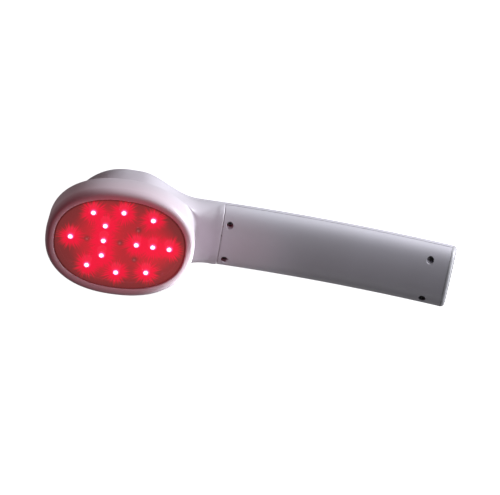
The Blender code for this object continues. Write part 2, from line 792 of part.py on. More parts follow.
def cover_ring(station):
    reach = WALL - TONGUE_INSET
    outer = front_arch(station, COVER_STEP, GAP)
    inner = front_arch(station, WALL, GAP)
    frame = spine_matrix(station)
    steps_up = ((reach, GAP), (reach, TONGUE_RISE + GAP), (WALL, TONGUE_RISE + GAP))
    left = [frame @ Vector((0.0, -HANDLE_HALF_WIDTH + inset, height)) for inset, height in steps_up]
    right = [frame @ Vector((0.0, HANDLE_HALF_WIDTH - inset, height)) for inset, height in steps_up]
    return outer + left + list(reversed(inner[1:-1])) + list(reversed(right))


cover_start = PARTING_STATION + GAP
cover_rings = [cover_ring(station) for station in handle_stations(cover_start)]
handle_cover = loft("handle_cover", cover_rings, "shell")
for number, (station, offset) in enumerate(screw_pairs, 1):
    pair = ((0.0, offset), (0.0, -offset))
    first = max(station - screw_tube_radius * 2, cover_start + GAP)
    last = station + screw_tube_radius * 2
    tubes = standing(f"screw_tubes_{number}", station, pair, screw_tube_radius, tube_low, deep, first, last)
    combine(handle_cover, tubes, "UNION")
    bores = cylinders(f"counterbores_{number}", pair, counterbore_radius, COVER_SCREW_SEAT, deep)
    combine(handle_cover, seat(bores, station), "DIFFERENCE")
    holes = cylinders(
        f"clearance_holes_{number}", pair, pilot_radius, tube_low - CUT_OVERRUN,
        COVER_SCREW_SEAT + CUT_OVERRUN, steps=SMALL_STEPS,
    )
    combine(handle_cover, seat(holes, station), "DIFFERENCE")
for number, (station, offset) in enumerate(screw_places, 1):
    made = turned(f"cover_screw_{number}", screw_profile(COVER_SCREW_LENGTH), "steel", SMALL_STEPS)
    seat(made, station, offset, COVER_SCREW_SEAT + GAP)

# End cap
plate_start = HANDLE_END_STATION + GAP
plate_end = plate_start + END_CAP_THICKNESS
spigot_inset = WALL + GAP
end_rings = [
    end_ring(plate_start, spigot_inset + SPIGOT_WALL),
    end_ring(plate_start - SPIGOT_LENGTH, spigot_inset + SPIGOT_WALL),
    end_ring(plate_start - SPIGOT_LENGTH, spigot_inset),
    end_ring(plate_start, spigot_inset),
    end_ring(plate_start, 0.0),
]
for step in range(4):
    turn = pi / 2 * step / 3
    rounded = plate_end - END_CAP_ROUND + END_CAP_ROUND * sin(turn)
    end_rings.append(end_ring(rounded, END_CAP_ROUND * (1 - cos(turn))))
end_cap = loft("end_cap", end_rings, "shell")
collar_out = jack_half + GAP + JACK_COLLAR_WALL
collar_in = jack_half + GAP
collar = box("jack_collar", (-JACK_COLLAR_LENGTH, -collar_out, -collar_out), (GAP, collar_out, collar_out))
collar_room = box(
    "jack_collar_room",
    (-JACK_COLLAR_LENGTH - CUT_OVERRUN, -collar_in, -collar_in),
    (0.0, collar_in, collar_in),
)
combine(end_cap, seat(collar, plate_start), "UNION")
combine(end_cap, seat(collar_room, plate_start), "DIFFERENCE")
jack_frame = spine_matrix(plate_start) @ Matrix.Rotation(pi / 2, 4, "Y")
nose_room = jack_nose_radius + GAP
hole_end = END_CAP_THICKNESS + CUT_OVERRUN
nose_hole = cylinders("jack_nose_hole", [(0.0, 0.0)], nose_room, -CUT_OVERRUN, hole_end)
nose_hole.matrix_local = jack_frame
combine(end_cap, nose_hole, "DIFFERENCE")

# Charging jack, a square body with a round nose and bore
jack_mouth = END_CAP_THICKNESS - GAP
jack_back = -GAP - JACK_LENGTH
jack = box("charge_jack", (-jack_half, -jack_half, jack_back), (jack_half, jack_half, -GAP), "chip")
jack.matrix_local = jack_frame
nose = cylinders("jack_nose", [(0.0, 0.0)], jack_nose_radius, -JACK_LENGTH / 2, jack_mouth)
nose.matrix_local = jack_frame
combine(jack, nose, "UNION")
bore_floor = jack_mouth - JACK_BORE_DEPTH
bore = cylinders("jack_bore", [(0.0, 0.0)], JACK_BORE_RADIUS, bore_floor, jack_mouth + CUT_OVERRUN)
bore.matrix_local = jack_frame
combine(jack, bore, "DIFFERENCE")
pin_foot = bore_floor + GAP
pin_tip = jack_mouth - CUT_OVERRUN
pin_profile = [
    (0.0, pin_tip),
    (JACK_PIN_RADIUS * JACK_PIN_TIP_SHARE, pin_tip),
    (JACK_PIN_RADIUS, pin_tip - JACK_PIN_RADIUS),
    (JACK_PIN_RADIUS, pin_foot),
    (0.0, pin_foot),
]
pin = turned("charge_jack_pin", pin_profile, "steel", SMALL_STEPS)
pin.matrix_local = jack_frame

# Driver board and what stands on it
driver_board = box(
    "driver_board",
    (-driver_length / 2, -driver_half_width, -driver_back),
    (driver_length / 2, driver_half_width, -driver_front),
    "driver board",
)
seat(driver_board, driver_middle)
holes = cylinders(
    "driver_board_holes", driver_posts, pilot_radius,
    -driver_back - CUT_OVERRUN, -driver_front + CUT_OVERRUN, steps=SMALL_STEPS,
)
combine(driver_board, seat(holes, driver_middle), "DIFFERENCE")
for number, (along, across) in enumerate(driver_posts, 1):
    made = turned(f"driver_board_screw_{number}", screw_profile(BOARD_SCREW_LENGTH), "steel", SMALL_STEPS)
    lift = Matrix.Translation((along, across, -driver_front + GAP))
    made.matrix_local = spine_matrix(driver_middle) @ lift
component_base = -driver_front + GAP
chip_half = CHIP_WIDTH / 2
chip_top = component_base + CHIP_HEIGHT
chip = box(
    "controller_chip", (-chip_half, -chip_half, component_base), (chip_half, chip_half, chip_top), "chip"
)
seat(chip, driver_middle)


def canister(name, radius, height, along, across, finish):
    """A round component with a rounded top rim, standing on the driver board's front."""
    rim = radius * COMPONENT_RIM_SHARE
    profile = [
        (0.0, height), (radius - rim, height), (radius, height - rim), (radius, 0.0), (0.0, 0.0),
    ]
    made = turned(name, profile, finish, SMALL_STEPS)
    made.matrix_local = spine_matrix(driver_middle) @ Matrix.Translation((along, across, component_base))
    return made


component_run = driver_length / 4
canister("inductor", INDUCTOR_RADIUS, INDUCTOR_HEIGHT, component_run, driver_half_width / 3, "chip")
canister("capacitor", CAPACITOR_RADIUS, CAPACITOR_HEIGHT, -component_run, -driver_half_width / 2, "steel")

# Switch, plunger and button, on one axis square to the handle's back
switch_half = SWITCH_WIDTH / 2
switch_top = -driver_back - GAP
switch_housing = box(
    "switch_housing", (-switch_half, -switch_half, switch_low), (switch_half, switch_half, switch_top), "chip"
)
seat(switch_housing, button_station)
plunger_end = plunger_tip + PLUNGER_LENGTH
room = cylinders(
    "switch_bore", [(0.0, 0.0)], PLUNGER_RADIUS + GAP, switch_low - CUT_OVERRUN, plunger_end + PLUNGER_ROOM,
    steps=SMALL_STEPS,
)
combine(switch_housing, seat(room, button_station), "DIFFERENCE")
button_face = HANDLE_HALF_THICKNESS - BUTTON_SUNK
plunger = turned(
    "switch_plunger",
    [(0.0, PLUNGER_LENGTH), (PLUNGER_RADIUS, PLUNGER_LENGTH), (PLUNGER_RADIUS, 0.0), (0.0, 0.0)],
    "button",
    SMALL_STEPS,
)
seat(plunger, button_station, 0.0, plunger_tip)
round_middle = BUTTON_ROUND * (1 - cos(pi / 4))
button_height = button_face - flange_back + BUTTON_FLANGE_HEIGHT
button = turned(
    "power_button",
    [
        (0.0, button_height),
        (flange_radius, button_height),
        (flange_radius, button_height - BUTTON_FLANGE_HEIGHT),
        (BUTTON_RADIUS, button_height - BUTTON_FLANGE_HEIGHT),
        (BUTTON_RADIUS, BUTTON_ROUND),
        (BUTTON_RADIUS - round_middle, round_middle),
        (BUTTON_RADIUS - BUTTON_ROUND, 0.0),
        (0.0, 0.0),
    ],
    "button",
)
seat(button, button_station, 0.0, -button_face)

# Cell and its pad
cell = turned(
    "battery_cell",
    [
        (0.0, CELL_LENGTH / 2 + CELL_NUB_LENGTH),
        (CELL_NUB_RADIUS, CELL_LENGTH / 2 + CELL_NUB_LENGTH),
        (CELL_NUB_RADIUS, CELL_LENGTH / 2),
        (CELL_RADIUS - CELL_NUB_LENGTH / 2, CELL_LENGTH / 2),
        (CELL_RADIUS, CELL_LENGTH / 2 - CELL_NUB_LENGTH / 2),
        (CELL_RADIUS, -CELL_LENGTH / 2),
        (0.0, -CELL_LENGTH / 2),
    ],
    "cell",
)
cell.matrix_local = spine_matrix(cell_middle) @ Matrix.Rotation(-pi / 2, 4, "Y")
bow = BEND_RADIUS * (1 - cos(PAD_LENGTH / 2 / BEND_RADIUS))
pad_top = inner_height(PAD_HALF_WIDTH) - bow - GAP
pad = box(
    "cell_pad",
    (-PAD_LENGTH / 2, -PAD_HALF_WIDTH, CELL_RADIUS + GAP),
    (PAD_LENGTH / 2, PAD_HALF_WIDTH, pad_top),
    "foam",
)
seat(pad, cell_middle)


# Inner leads

def on_driver(along, across, height):
    return spine_matrix(driver_middle) @ Vector((along, across, height))


def smooth_route(points, per_span=3):
    """Points on one smooth curve through the route's own points."""
    padded = [points[0] * 2 - points[1], *points, points[-1] * 2 - points[-2]]
    route = []
    for index in range(1, len(padded) - 2):
        a, b, c, d = padded[index - 1:index + 3]
        for step in range(per_span):
            t = step / per_span
            route.append(
                0.5 * (2 * b + (c - a) * t + (2 * a - 5 * b + 4 * c - d) * t * t
                       + (3 * b - a - 3 * c + d) * t ** 3)
            )
    return route + [points[-1]]


def lead(name, points, finish):
    curve = bpy.data.curves.new(name, "CURVE")
    curve.dimensions = "3D"
    curve.bevel_depth = LEAD_RADIUS
    curve.bevel_resolution = 1
    curve.use_fill_caps = True
    route = smooth_route([Vector(point) for point in points])
    spline = curve.splines.new("POLY")
    spline.points.add(len(route) - 1)
    for point, place in zip(spline.points, route):
        point.co = (*place, 1.0)
    return new_object(name, curve, finish)


lead_lift = component_base + LEAD_RADIUS
for finish, side in (("red lead", 1), ("black lead", -1)):
    tone = finish.split()[0]
    across = side * LEAD_SPREAD
    board_end = Vector((pitch_along * 2, across, -board_back - GAP))
    drop = Vector((0.0, 0.0, -DIODE_HEIGHT))
    neck = spine_matrix(PARTING_STATION) @ Vector((0.0, across, -LEAD_SPREAD))
    entry = on_driver(-driver_length / 2 + LEAD_SPREAD, across, lead_lift)
    lead(
        f"lead_diodes_{tone}",
        [board_end, board_end + drop, (board_end + drop + neck) / 2 + drop / 4, neck, entry],
        finish,
    )
    tail = on_driver(driver_length / 2 - LEAD_SPREAD, across, lead_lift)
    cell_end = cell_middle + side * (CELL_LENGTH / 2 + GAP + CELL_NUB_LENGTH)
    if side < 0:
        stop = spine_matrix(cell_start - GAP - LEAD_RADIUS) @ Vector((0.0, across, 0.0))
        lead(f"lead_cell_{tone}", [tail, (tail + stop) / 2, stop], finish)
    else:
        over = CELL_RADIUS + LEAD_RADIUS * 2 + GAP
        first = spine_matrix(cell_start) @ Vector((0.0, over, LEAD_SPREAD))
        last = spine_matrix(cell_start + CELL_LENGTH) @ Vector((0.0, over, LEAD_SPREAD))
        stop = spine_matrix(cell_end + LEAD_RADIUS) @ Vector((0.0, 0.0, 0.0))
        turn_in = spine_matrix(cell_end + LEAD_RADIUS) @ Vector((0.0, over / 2, LEAD_SPREAD / 2))
        lead(f"lead_cell_{tone}", [tail, first, last, turn_in, stop], finish)
    run_out = CELL_RADIUS + LEAD_RADIUS * 4 + GAP * 2
    start = on_driver(driver_length / 2 - LEAD_RADIUS, side * JACK_LEAD_SPREAD, lead_lift)
    first = spine_matrix(cell_start) @ Vector((0.0, side * run_out, 0.0))
    last = spine_matrix(cell_start + CELL_LENGTH) @ Vector((0.0, side * run_out, 0.0))
    jack_tail = spine_matrix(plate_start - GAP * 2 - JACK_LENGTH)
    stop = jack_tail @ Vector((0.0, side * LEAD_SPREAD, -LEAD_SPREAD))
    near = jack_tail @ Vector((-LEAD_RADIUS * 4, side * LEAD_SPREAD, -LEAD_SPREAD))
    lead(f"lead_jack_{tone}", [start, first, last, near, stop], finish)


# Rest: the device lies on the pod's back and on the bow of the handle.

def rest_tilt(points):
    """The turn at which the pod and the handle touch one level surface."""
    pod = [point for point in points if point.x < NECK_BLEND_END / 2]
    handle = [point for point in points if point.x > NECK_BLEND_END]
    low = 0.0
    high = pi / 8
    while high - low > 1e-9:
        turn = (low + high) / 2
        pod_low = min(point.z * cos(turn) - point.x * sin(turn) for point in pod)
        handle_low = min(point.z * cos(turn) - point.x * sin(turn) for point in handle)
        if handle_low > pod_low:
            low = turn
        else:
            high = turn
    return (low + high) / 2


under = [point for place in back_places() for point in back_arch(*place, 0.0)]
tilt = rest_tilt(under)
carrier.rotation_euler = (0.0, tilt, 0.0)
turned_frame = Matrix.Rotation(tilt, 4, "Y")
tip = [turned_frame @ point for ring in housing_rings for point in ring]
tip += [turned_frame @ point for point in end_ring(plate_end, END_CAP_ROUND)]
tip += [turned_frame @ point for point in end_ring(plate_end - END_CAP_ROUND, 0.0)]
floor = min((turned_frame @ point).z for point in under)
middle = (min(point.x for point in tip) + max(point.x for point in tip)) / 2
carrier.location = (-middle, 0.0, -floor)
print(f"rest tilt {tilt:.6f} rad, frame at {carrier.location[:]}")
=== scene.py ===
import json
from math import atan2, cos, hypot, pi, radians, sin, sqrt

import bmesh
import bpy
from mathutils import Matrix, Vector
from mathutils.kdtree import KDTree


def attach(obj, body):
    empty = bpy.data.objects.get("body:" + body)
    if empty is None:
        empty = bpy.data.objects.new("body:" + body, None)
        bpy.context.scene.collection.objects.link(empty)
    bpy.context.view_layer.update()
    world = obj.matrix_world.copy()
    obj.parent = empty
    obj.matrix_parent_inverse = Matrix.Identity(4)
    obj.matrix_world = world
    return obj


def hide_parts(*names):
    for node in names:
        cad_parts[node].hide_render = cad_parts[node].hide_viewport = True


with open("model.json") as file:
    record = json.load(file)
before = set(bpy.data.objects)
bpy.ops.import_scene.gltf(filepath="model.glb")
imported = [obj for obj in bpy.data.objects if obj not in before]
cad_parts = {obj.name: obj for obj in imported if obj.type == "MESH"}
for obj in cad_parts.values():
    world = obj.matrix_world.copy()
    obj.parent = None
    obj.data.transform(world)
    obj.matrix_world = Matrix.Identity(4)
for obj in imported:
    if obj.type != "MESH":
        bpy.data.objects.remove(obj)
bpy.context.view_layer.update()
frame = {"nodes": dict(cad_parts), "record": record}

mm = 0.001
scene = bpy.context.scene
nodes = frame["nodes"]

# the window's mount in the record says where the device's own frame lies:
# x along the handle from the window's centre, y across, z out of the window's face
faceMount = [mount for mount in frame["record"]["mounts"] if mount["name"] == "treatment_face"][0]
windowPlace = Vector(faceMount["pos_m"])
restTilt = atan2(faceMount["axis"][0], faceMount["axis"][2])
device = Matrix.Translation(windowPlace) @ Matrix.Rotation(restTilt, 4, "Y")
print("frame loaded, rest tilt", round(restTilt, 4))


# helpers for objects and node trees

def placed(name, data):
    piece = bpy.data.objects.new(name, data)
    scene.collection.objects.link(piece)
    return piece


def newFinish(name):
    made = bpy.data.materials.new(name)
    made.use_nodes = True
    return made, made.node_tree, made.node_tree.nodes["Principled BSDF"]


def add(tree, kind, **inputs):
    made = tree.nodes.new(kind)
    for key, value in inputs.items():
        if key in made.inputs:
            made.inputs[key].default_value = value
        else:
            setattr(made, key, value)
    return made


def feed(tree, socket, value):
    # a number or colour goes on the socket itself, and another node's output is linked to it
    if isinstance(value, bpy.types.NodeSocket):
        tree.links.new(value, socket)
    elif value is not None:
        socket.default_value = value


def wire(tree, node, values):
    for name, value in values.items():
        feed(tree, node.inputs[name], value)


def fill(tree, node, *values):
    # the node's sockets in their order, and None passes one by
    for socket, value in zip(node.inputs, values):
        feed(tree, socket, value)


def eitherShader(tree, factor, first, second):
    made = add(tree, "ShaderNodeMixShader")
    fill(tree, made, factor, first, second)
    return made.outputs["Shader"]


# the camera stands over the far side of the window, turned as the photograph is
view = {
    "lens": 144.0, "sensor": 36.0, "nearest": 10 * mm,
    "place": (-0.01659, 0.51756, 1.05305),
    "right": (0.986292, 0.152743, -0.062436),
    "up": (-0.164488, 0.879936, -0.445709),
}


def addCamera():
    cameraData = bpy.data.cameras.new("camera")
    cameraData.lens = view["lens"]
    cameraData.sensor_width = view["sensor"]
    cameraData.clip_start = view["nearest"]
    camera = placed("camera", cameraData)
    right, up = Vector(view["right"]).normalized(), Vector(view["up"]).normalized()
    turn = Matrix((right, up, right.cross(up))).transposed()
    camera.matrix_world = Matrix.Translation(view["place"]) @ turn.to_4x4()
    scene.camera = camera


# each soft lamp: name, heading and height in degrees, power in watts
lamps = (
    ("lowKey", 30, -20, 12.9),
    ("levelKey", 30, 0, 3.6),
    ("highKey", 12, 25, 1.0),
    ("rightKey", 350, -12, 7.0),
    ("sideFill", 280, 25, 0.42),
)
light = {
    "reach": 1.0, "size": 0.45, "colour": (0.95, 0.985, 1.0),
    "glowColour": (1.0, 0.03, 0.07), "glowPower": 0.013, "glowHeight": 30 * mm,
    "glowSize": 15 * mm, "snootSize": 8 * mm,
    "worldGrey": (0.98, 0.98, 1.0), "worldStrength": 0.02,
    "floorColour": (0.90, 0.90, 0.91), "floorBounce": 0.21, "floorGlow": 1.0,
    "floorRough": 0.8, "floorSize": 6.0, "floorDrop": 0.2 * mm,
}


def newLamp(name, kind, power, colour):
    lamp = bpy.data.lights.new(name, kind)
    lamp.energy = power
    lamp.color = colour
    return lamp, placed(name, lamp)


def standOff(holder, aim, heading, height, distance):
    # puts a lamp at a distance from what it is aimed at, and turns it there
    turn = Matrix.Rotation(radians(heading), 3, "Z") @ Matrix.Rotation(radians(-height), 3, "Y")
    towards = turn @ Vector((1, 0, 0))
    holder.location = aim + towards * distance
    holder.rotation_euler = towards.to_track_quat("Z", "Y").to_euler()


def addLamp(name, heading, height, power):
    lamp, holder = newLamp(name, "AREA", power, light["colour"])
    lamp.shape = "DISK"
    lamp.size = light["size"]
    standOff(holder, Vector((0, 0, windowPlace.z / 2)), heading, height, light["reach"])


def addGlowLamp():
    # the diodes' own light, as it hangs over the window and reddens what is near
    lamp, holder = newLamp("windowGlow", "POINT", light["glowPower"], light["glowColour"])
    lamp.shadow_soft_size = light["glowSize"]
    holder.location = device @ Vector((0, 0, light["glowHeight"]))
    holder.visible_glossy = False


# narrow lamps for one place each: their aim, where they stand from there, and how wide they throw
snoots = (
    {"name": "lipSnoot", "aim": (36 * mm, -12 * mm, -2 * mm), "heading": 350, "height": 32,
     "distance": 0.30, "power": 6.4, "cone": 7.4, "colour": (1.0, 0.97, 0.98)},
    {"name": "neckSnoot", "aim": (57 * mm, -2 * mm, -20 * mm), "heading": 290, "height": 60,
     "distance": 0.25, "power": 0.28, "cone": 24.0, "colour": (1.0, 0.90, 0.95)},
    {"name": "handleSnoot", "aim": (125 * mm, 0.0, -15 * mm), "heading": 60, "height": 26,
     "distance": 0.80, "power": 5.6, "cone": 19.0, "colour": (0.95, 0.975, 1.0)},
    {"name": "sideSnoot", "aim": (140 * mm, 0.0, -15 * mm), "heading": 270, "height": 40,
     "distance": 0.80, "power": 1.4, "cone": 17.0, "colour": (1.0, 1.0, 1.0)},
)


def addSnoot(snoot):
    lamp, holder = newLamp(snoot["name"], "SPOT", snoot["power"], snoot["colour"])
    lamp.spot_size = radians(snoot["cone"])
    lamp.spot_blend = 1.0
    lamp.shadow_soft_size = light["snootSize"]
    holder.visible_glossy = False
    aim = device @ Vector(snoot["aim"])
    standOff(holder, aim, snoot["heading"], snoot["height"], snoot["distance"])


def addWorld():
    world = bpy.data.worlds.new("studio")
    scene.world = world
    world.use_nodes = True
    tree = world.node_tree
    ambient = tree.nodes["Background"]
    wire(tree, ambient, {"Color": (*light["worldGrey"], 1), "Strength": light["worldStrength"]})
    paper = add(tree, "ShaderNodeBackground", Color=(1, 1, 1, 1))
    seen = add(tree, "ShaderNodeLightPath").outputs["Is Camera Ray"]
    both = eitherShader(tree, seen, ambient.outputs["Background"], paper.outputs["Background"])
    feed(tree, tree.nodes["World Output"].inputs["Surface"], both)
    scene.view_settings.view_transform = "Standard"


# a fringe at each diode, and a red veil round the window
flares = (
    {"threshold": 3.5, "strength": 0.7, "size": 0.10, "tint": (1.0, 0.10, 0.55)},
    {"threshold": 3.5, "strength": 1.0, "size": 0.60, "tint": (1.0, 0.03, 0.06)},
)


def addFlares():
    scene.use_nodes = True
    tree = scene.node_tree
    for old in list(tree.nodes):
        tree.nodes.remove(old)
    rendered = picture = add(tree, "CompositorNodeRLayers").outputs["Image"]
    for flare in flares:
        glare = add(tree, "CompositorNodeGlare", glare_type="BLOOM", quality="HIGH")
        wire(tree, glare, {"Tint": (*flare["tint"], 1), "Image": rendered})
        wire(tree, glare, {name: flare[name.lower()] for name in ("Threshold", "Strength", "Size")})
        both = add(tree, "CompositorNodeMixRGB", blend_type="ADD")
        fill(tree, both, None, picture, glare.outputs["Glare"])
        picture = both.outputs["Image"]
    feed(tree, add(tree, "CompositorNodeComposite").inputs["Image"], picture)


addCamera()
for lamp in lamps:
    addLamp(*lamp)
for snoot in snoots:
    addSnoot(snoot)
addGlowLamp()
addWorld()
addFlares()
print("camera, lamps and flare")


# helpers for shapes, and the distance within which two points become one
sameSpot = 0.002 * mm


def only(piece):
    if bpy.context.object and bpy.context.object.mode != "OBJECT":
        bpy.ops.object.mode_set(mode="OBJECT")
    bpy.ops.object.select_all(action="DESELECT")
    bpy.context.view_layer.objects.active = piece
    piece.select_set(True)


def editing(piece, kind="VERT", action="DESELECT"):
    only(piece)
    bpy.ops.object.mode_set(mode="EDIT")
    bpy.ops.mesh.select_mode(type=kind)
    bpy.ops.mesh.select_all(action=action)


def done(piece):
    bpy.ops.object.mode_set(mode="OBJECT")
    return piece


def pick(piece, kind, test):
    # enters edit mode and selects the faces, edges or vertices that pass the test
    editing(piece, kind)
    grid = bmesh.from_edit_mesh(piece.data)
    parts = {"FACE": grid.faces, "EDGE": grid.edges, "VERT": grid.verts}[kind]
    for part in parts:
        if test(part):
            part.select_set(True)
    bmesh.update_edit_mesh(piece.data)


def modify(piece, kind, **settings):
    only(piece)
    step = piece.modifiers.new(kind.lower(), kind)
    for name, value in settings.items():
        setattr(step, name, value)
    bpy.ops.object.modifier_apply(modifier=step.name)
    return piece


def combine(piece, other, operation):
    modify(piece, "BOOLEAN", operation=operation, solver="EXACT", object=other)
    bpy.data.objects.remove(other)
    return piece


def weld(piece, other):
    return combine(piece, other, "UNION")


def cut(piece, other):
    return combine(piece, other, "DIFFERENCE")


def smooth(piece, angle=35):
    only(piece)
    bpy.ops.object.shade_smooth_by_angle(angle=radians(angle))
    return modify(piece, "WEIGHTED_NORMAL", keep_sharp=True)


def outwards(piece):
    editing(piece, action="SELECT")
    bpy.ops.mesh.remove_doubles(threshold=sameSpot)
    bpy.ops.mesh.normals_make_consistent(inside=False)
    return done(piece)


def moved(piece, place):
    only(piece)
    piece.matrix_world = place @ piece.matrix_world
    bpy.ops.object.transform_apply(location=True, rotation=True, scale=True)
    return piece


def settle(piece, place=None):
    # the piece was modelled in the device's frame, and its place goes into its mesh
    return moved(piece, device @ (place or Matrix.Identity(4)))


def dress(piece, finish, body, slot, *replaced):
    piece.data.materials.clear()
    piece.data.materials.append(finish)
    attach(piece, body)
    if replaced:
        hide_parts(*replaced)
    return piece


def skin(name, rings, joined=False, firstClosed=True):
    # closed rings of equal length, skinned end to end, then capped or joined into one round
    grid = bmesh.new()
    rows = [[grid.verts.new(point) for point in ring] for ring in rings]
    pairs = list(zip(rows, rows[1:]))
    if joined:
        pairs.append((rows[-1], rows[0]))
    for near, far in pairs:
        for index in range(len(near)):
            after = (index + 1) % len(near)
            grid.faces.new((near[index], near[after], far[after], far[index]))
    if not joined:
        grid.faces.new(list(reversed(rows[-1])))
    if firstClosed and not joined:
        grid.faces.new(rows[0])
    mesh = bpy.data.meshes.new(name)
    grid.to_mesh(mesh)
    grid.free()
    return outwards(placed(name, mesh))


def outline(name, points, closed):
    # a wire through the points, to be spun
    count = len(points)
    edges = [(index, (index + 1) % count) for index in range(count if closed else count - 1)]
    mesh = bpy.data.meshes.new(name)
    mesh.from_pydata(points, edges, [])
    return placed(name, mesh)


def spin(piece, steps, angle, centre, axis):
    editing(piece, action="SELECT")
    bpy.ops.mesh.spin(steps=steps, angle=angle, center=centre, axis=axis)


def spun(name, profile, turns):
    # pairs of radius and height, from the axis to the axis, spun once round it
    piece = outline(name, [(across, 0.0, height) for across, height in profile], closed=False)
    spin(piece, turns, 2 * pi, (0, 0, 0), (0, 0, 1))
    return outwards(done(piece))


def nothingPicked():
    only(nodes["window"])
    bpy.ops.object.select_all(action="DESELECT")


def drum(name, radius, low, high, place=(0, 0), sides=48):
    nothingPicked()
    bpy.ops.mesh.primitive_cylinder_add(
        vertices=sides, radius=radius, depth=high - low, location=(*place, (low + high) / 2)
    )
    piece = bpy.context.object
    piece.name = name
    return piece


def block(name, low, high):
    nothingPicked()
    middle = (Vector(low) + Vector(high)) / 2
    bpy.ops.mesh.primitive_cube_add(size=1, location=middle)
    piece = bpy.context.object
    piece.name = name
    piece.scale = Vector(high) - Vector(low)
    bpy.ops.object.transform_apply(location=True, rotation=False, scale=True)
    return piece


def joinAll(pieces):
    only(pieces[0])
    for piece in pieces:
        piece.select_set(True)
    bpy.ops.object.join()
    return pieces[0]


def drums(name, radius, low, high, places, sides=48):
    return joinAll([drum(name, radius, low, high, place, sides) for place in places])


def copied(piece, name):
    only(piece)
    bpy.ops.object.duplicate()
    bpy.context.object.name = name
    return bpy.context.object


def spread(start, end, steps):
    # even places from start to end
    return [start + (end - start) * step / steps for step in range(steps + 1)]


def quarter(steps, first=0):
    return spread(0.0, pi / 2, steps)[first:]


# the device's outlines, from the same sizes as its solids

head = {
    "windowLength": 37.4 * mm, "windowWidth": 27.8 * mm, "lipEnd": 4.9 * mm, "lipSide": 5.5 * mm,
    "widest": 4.5 * mm, "lipRise": 0.8 * mm, "crestShare": 0.4, "power": 2.27,
    "skirtEnd": 0.5 * mm, "skirtSide": 0.9 * mm, "skirtDepth": 18.0 * mm, "shoulder": 2.4 * mm,
    "groove": 1.6 * mm, "groovePull": 0.75, "neckPull": 0.4, "release": 0.5, "ledge": 2.5 * mm,
    "endRound": 0.6 * mm, "seamRound": 0.12 * mm, "roundSteps": 4,
    "calm": 40, "calmFrom": 0.55, "calmReach": 0.004 * mm,
    "flareFull": pi / 12, "flareGone": pi / 3.6, "arch": pi / 14,
}
handle = {
    "spineDepth": 32.3 * mm, "bendStart": 38.0 * mm, "bendRadius": 740.0 * mm,
    "parting": 57.5 * mm, "end": 190.5 * mm, "halfWidth": 18.9 * mm, "halfThickness": 13.2 * mm,
    "power": 2.2, "podRadius": 31.5 * mm, "podBack": 17.0 * mm, "podFade": 70.0 * mm,
    "blendStart": 8.0 * mm, "blendEnd": 44.0 * mm, "coverStep": 0.2 * mm, "backStep": 0.15 * mm,
}
wall = {
    "thick": 2.0 * mm, "gap": 0.3 * mm, "seam": 0.12 * mm, "tongue": 1.15 * mm, "rise": 1.2 * mm,
    "over": 1.0 * mm,
}
# what lies behind one another in the head
stack = {
    "pane": 1.5 * mm, "gasket": 0.8 * mm, "tip": 2.0 * mm, "diode": 7.6 * mm, "board": 1.6 * mm,
}
# counts of steps along and round each form
fine = {
    "arch": 52, "neck": 34, "pod": 26, "handle": 56, "back": 46, "ledge": 5, "lip": 12,
    "shoulder": 8, "fall": 22, "inner": 5, "oval": 144, "section": 96, "room": 8, "mouth": 40,
    "pilot": 24, "boss": 32, "pin": 32, "tube": 36, "bore": 40, "nose": 64, "saddle": 72,
    "dish": 96,
}
headLength = head["windowLength"] + head["lipEnd"]
headWidth = head["windowWidth"] + head["lipSide"]
gasketDepth = stack["pane"] + wall["gap"]
ledgeDepth = gasketDepth + stack["gasket"] + wall["gap"]
ledgeBack = ledgeDepth + wall["thick"]
boardDepth = stack["tip"] + stack["diode"] + wall["gap"]
boardBack = boardDepth + stack["board"]


def ovalPoint(length, width, turn, depth):
    reach = abs(cos(turn) / length) ** head["power"] + abs(sin(turn) / width) ** head["power"]
    radius = reach ** (-1 / head["power"])
    return Vector((radius * cos(turn), radius * sin(turn), -depth))


def windowPoint(margin, turn, depth):
    return ovalPoint(head["windowLength"] + margin, head["windowWidth"] + margin, turn, depth)


def ovalRing(margin, depth):
    turns = spread(0.0, 2 * pi, fine["oval"])[:-1]
    return [windowPoint(margin, turn, depth) for turn in turns]


def signedPower(value, power):
    return abs(value) ** power if value >= 0 else -(abs(value) ** power)


def easeShare(value, start, end):
    share = min(max((value - start) / (end - start), 0.0), 1.0)
    return share * share * (3 - 2 * share)


def spine(station):
    # straight behind the head, then bent towards the window's side
    turn = max(station - handle["bendStart"], 0.0) / handle["bendRadius"]
    along = min(station, handle["bendStart"]) + handle["bendRadius"] * sin(turn)
    height = -handle["spineDepth"] + handle["bendRadius"] * (1 - cos(turn))
    return Matrix.Translation((along, 0.0, height)) @ Matrix.Rotation(-turn, 4, "Y")


def podBlend(pod, full, station):
    stretched = pod * sqrt(max(1 - (station / handle["podFade"]) ** 2, 0.0))
    share = easeShare(station, handle["blendStart"], handle["blendEnd"])
    return stretched * (1 - share) + full * share


def halfWidth(station):
    return podBlend(handle["podRadius"], handle["halfWidth"], station)


def halfBack(station):
    return podBlend(handle["podBack"], handle["halfThickness"], station)


def section(station, width, rise, power, turns, ahead=0.0, base=0.0):
    # a rounded section across the handle, or an arch of it
    points = []
    for turn in turns:
        across = width * signedPower(cos(turn), power)
        height = base + rise * signedPower(sin(turn), power)
        points.append(spine(station) @ Vector((ahead, across, height)))
    return points


def frontArch(station, inset, base, steps):
    width, rise = handle["halfWidth"] - inset, handle["halfThickness"] - inset - base
    return section(station, width, rise, 2 / handle["power"], spread(0.0, pi, steps), base=base)


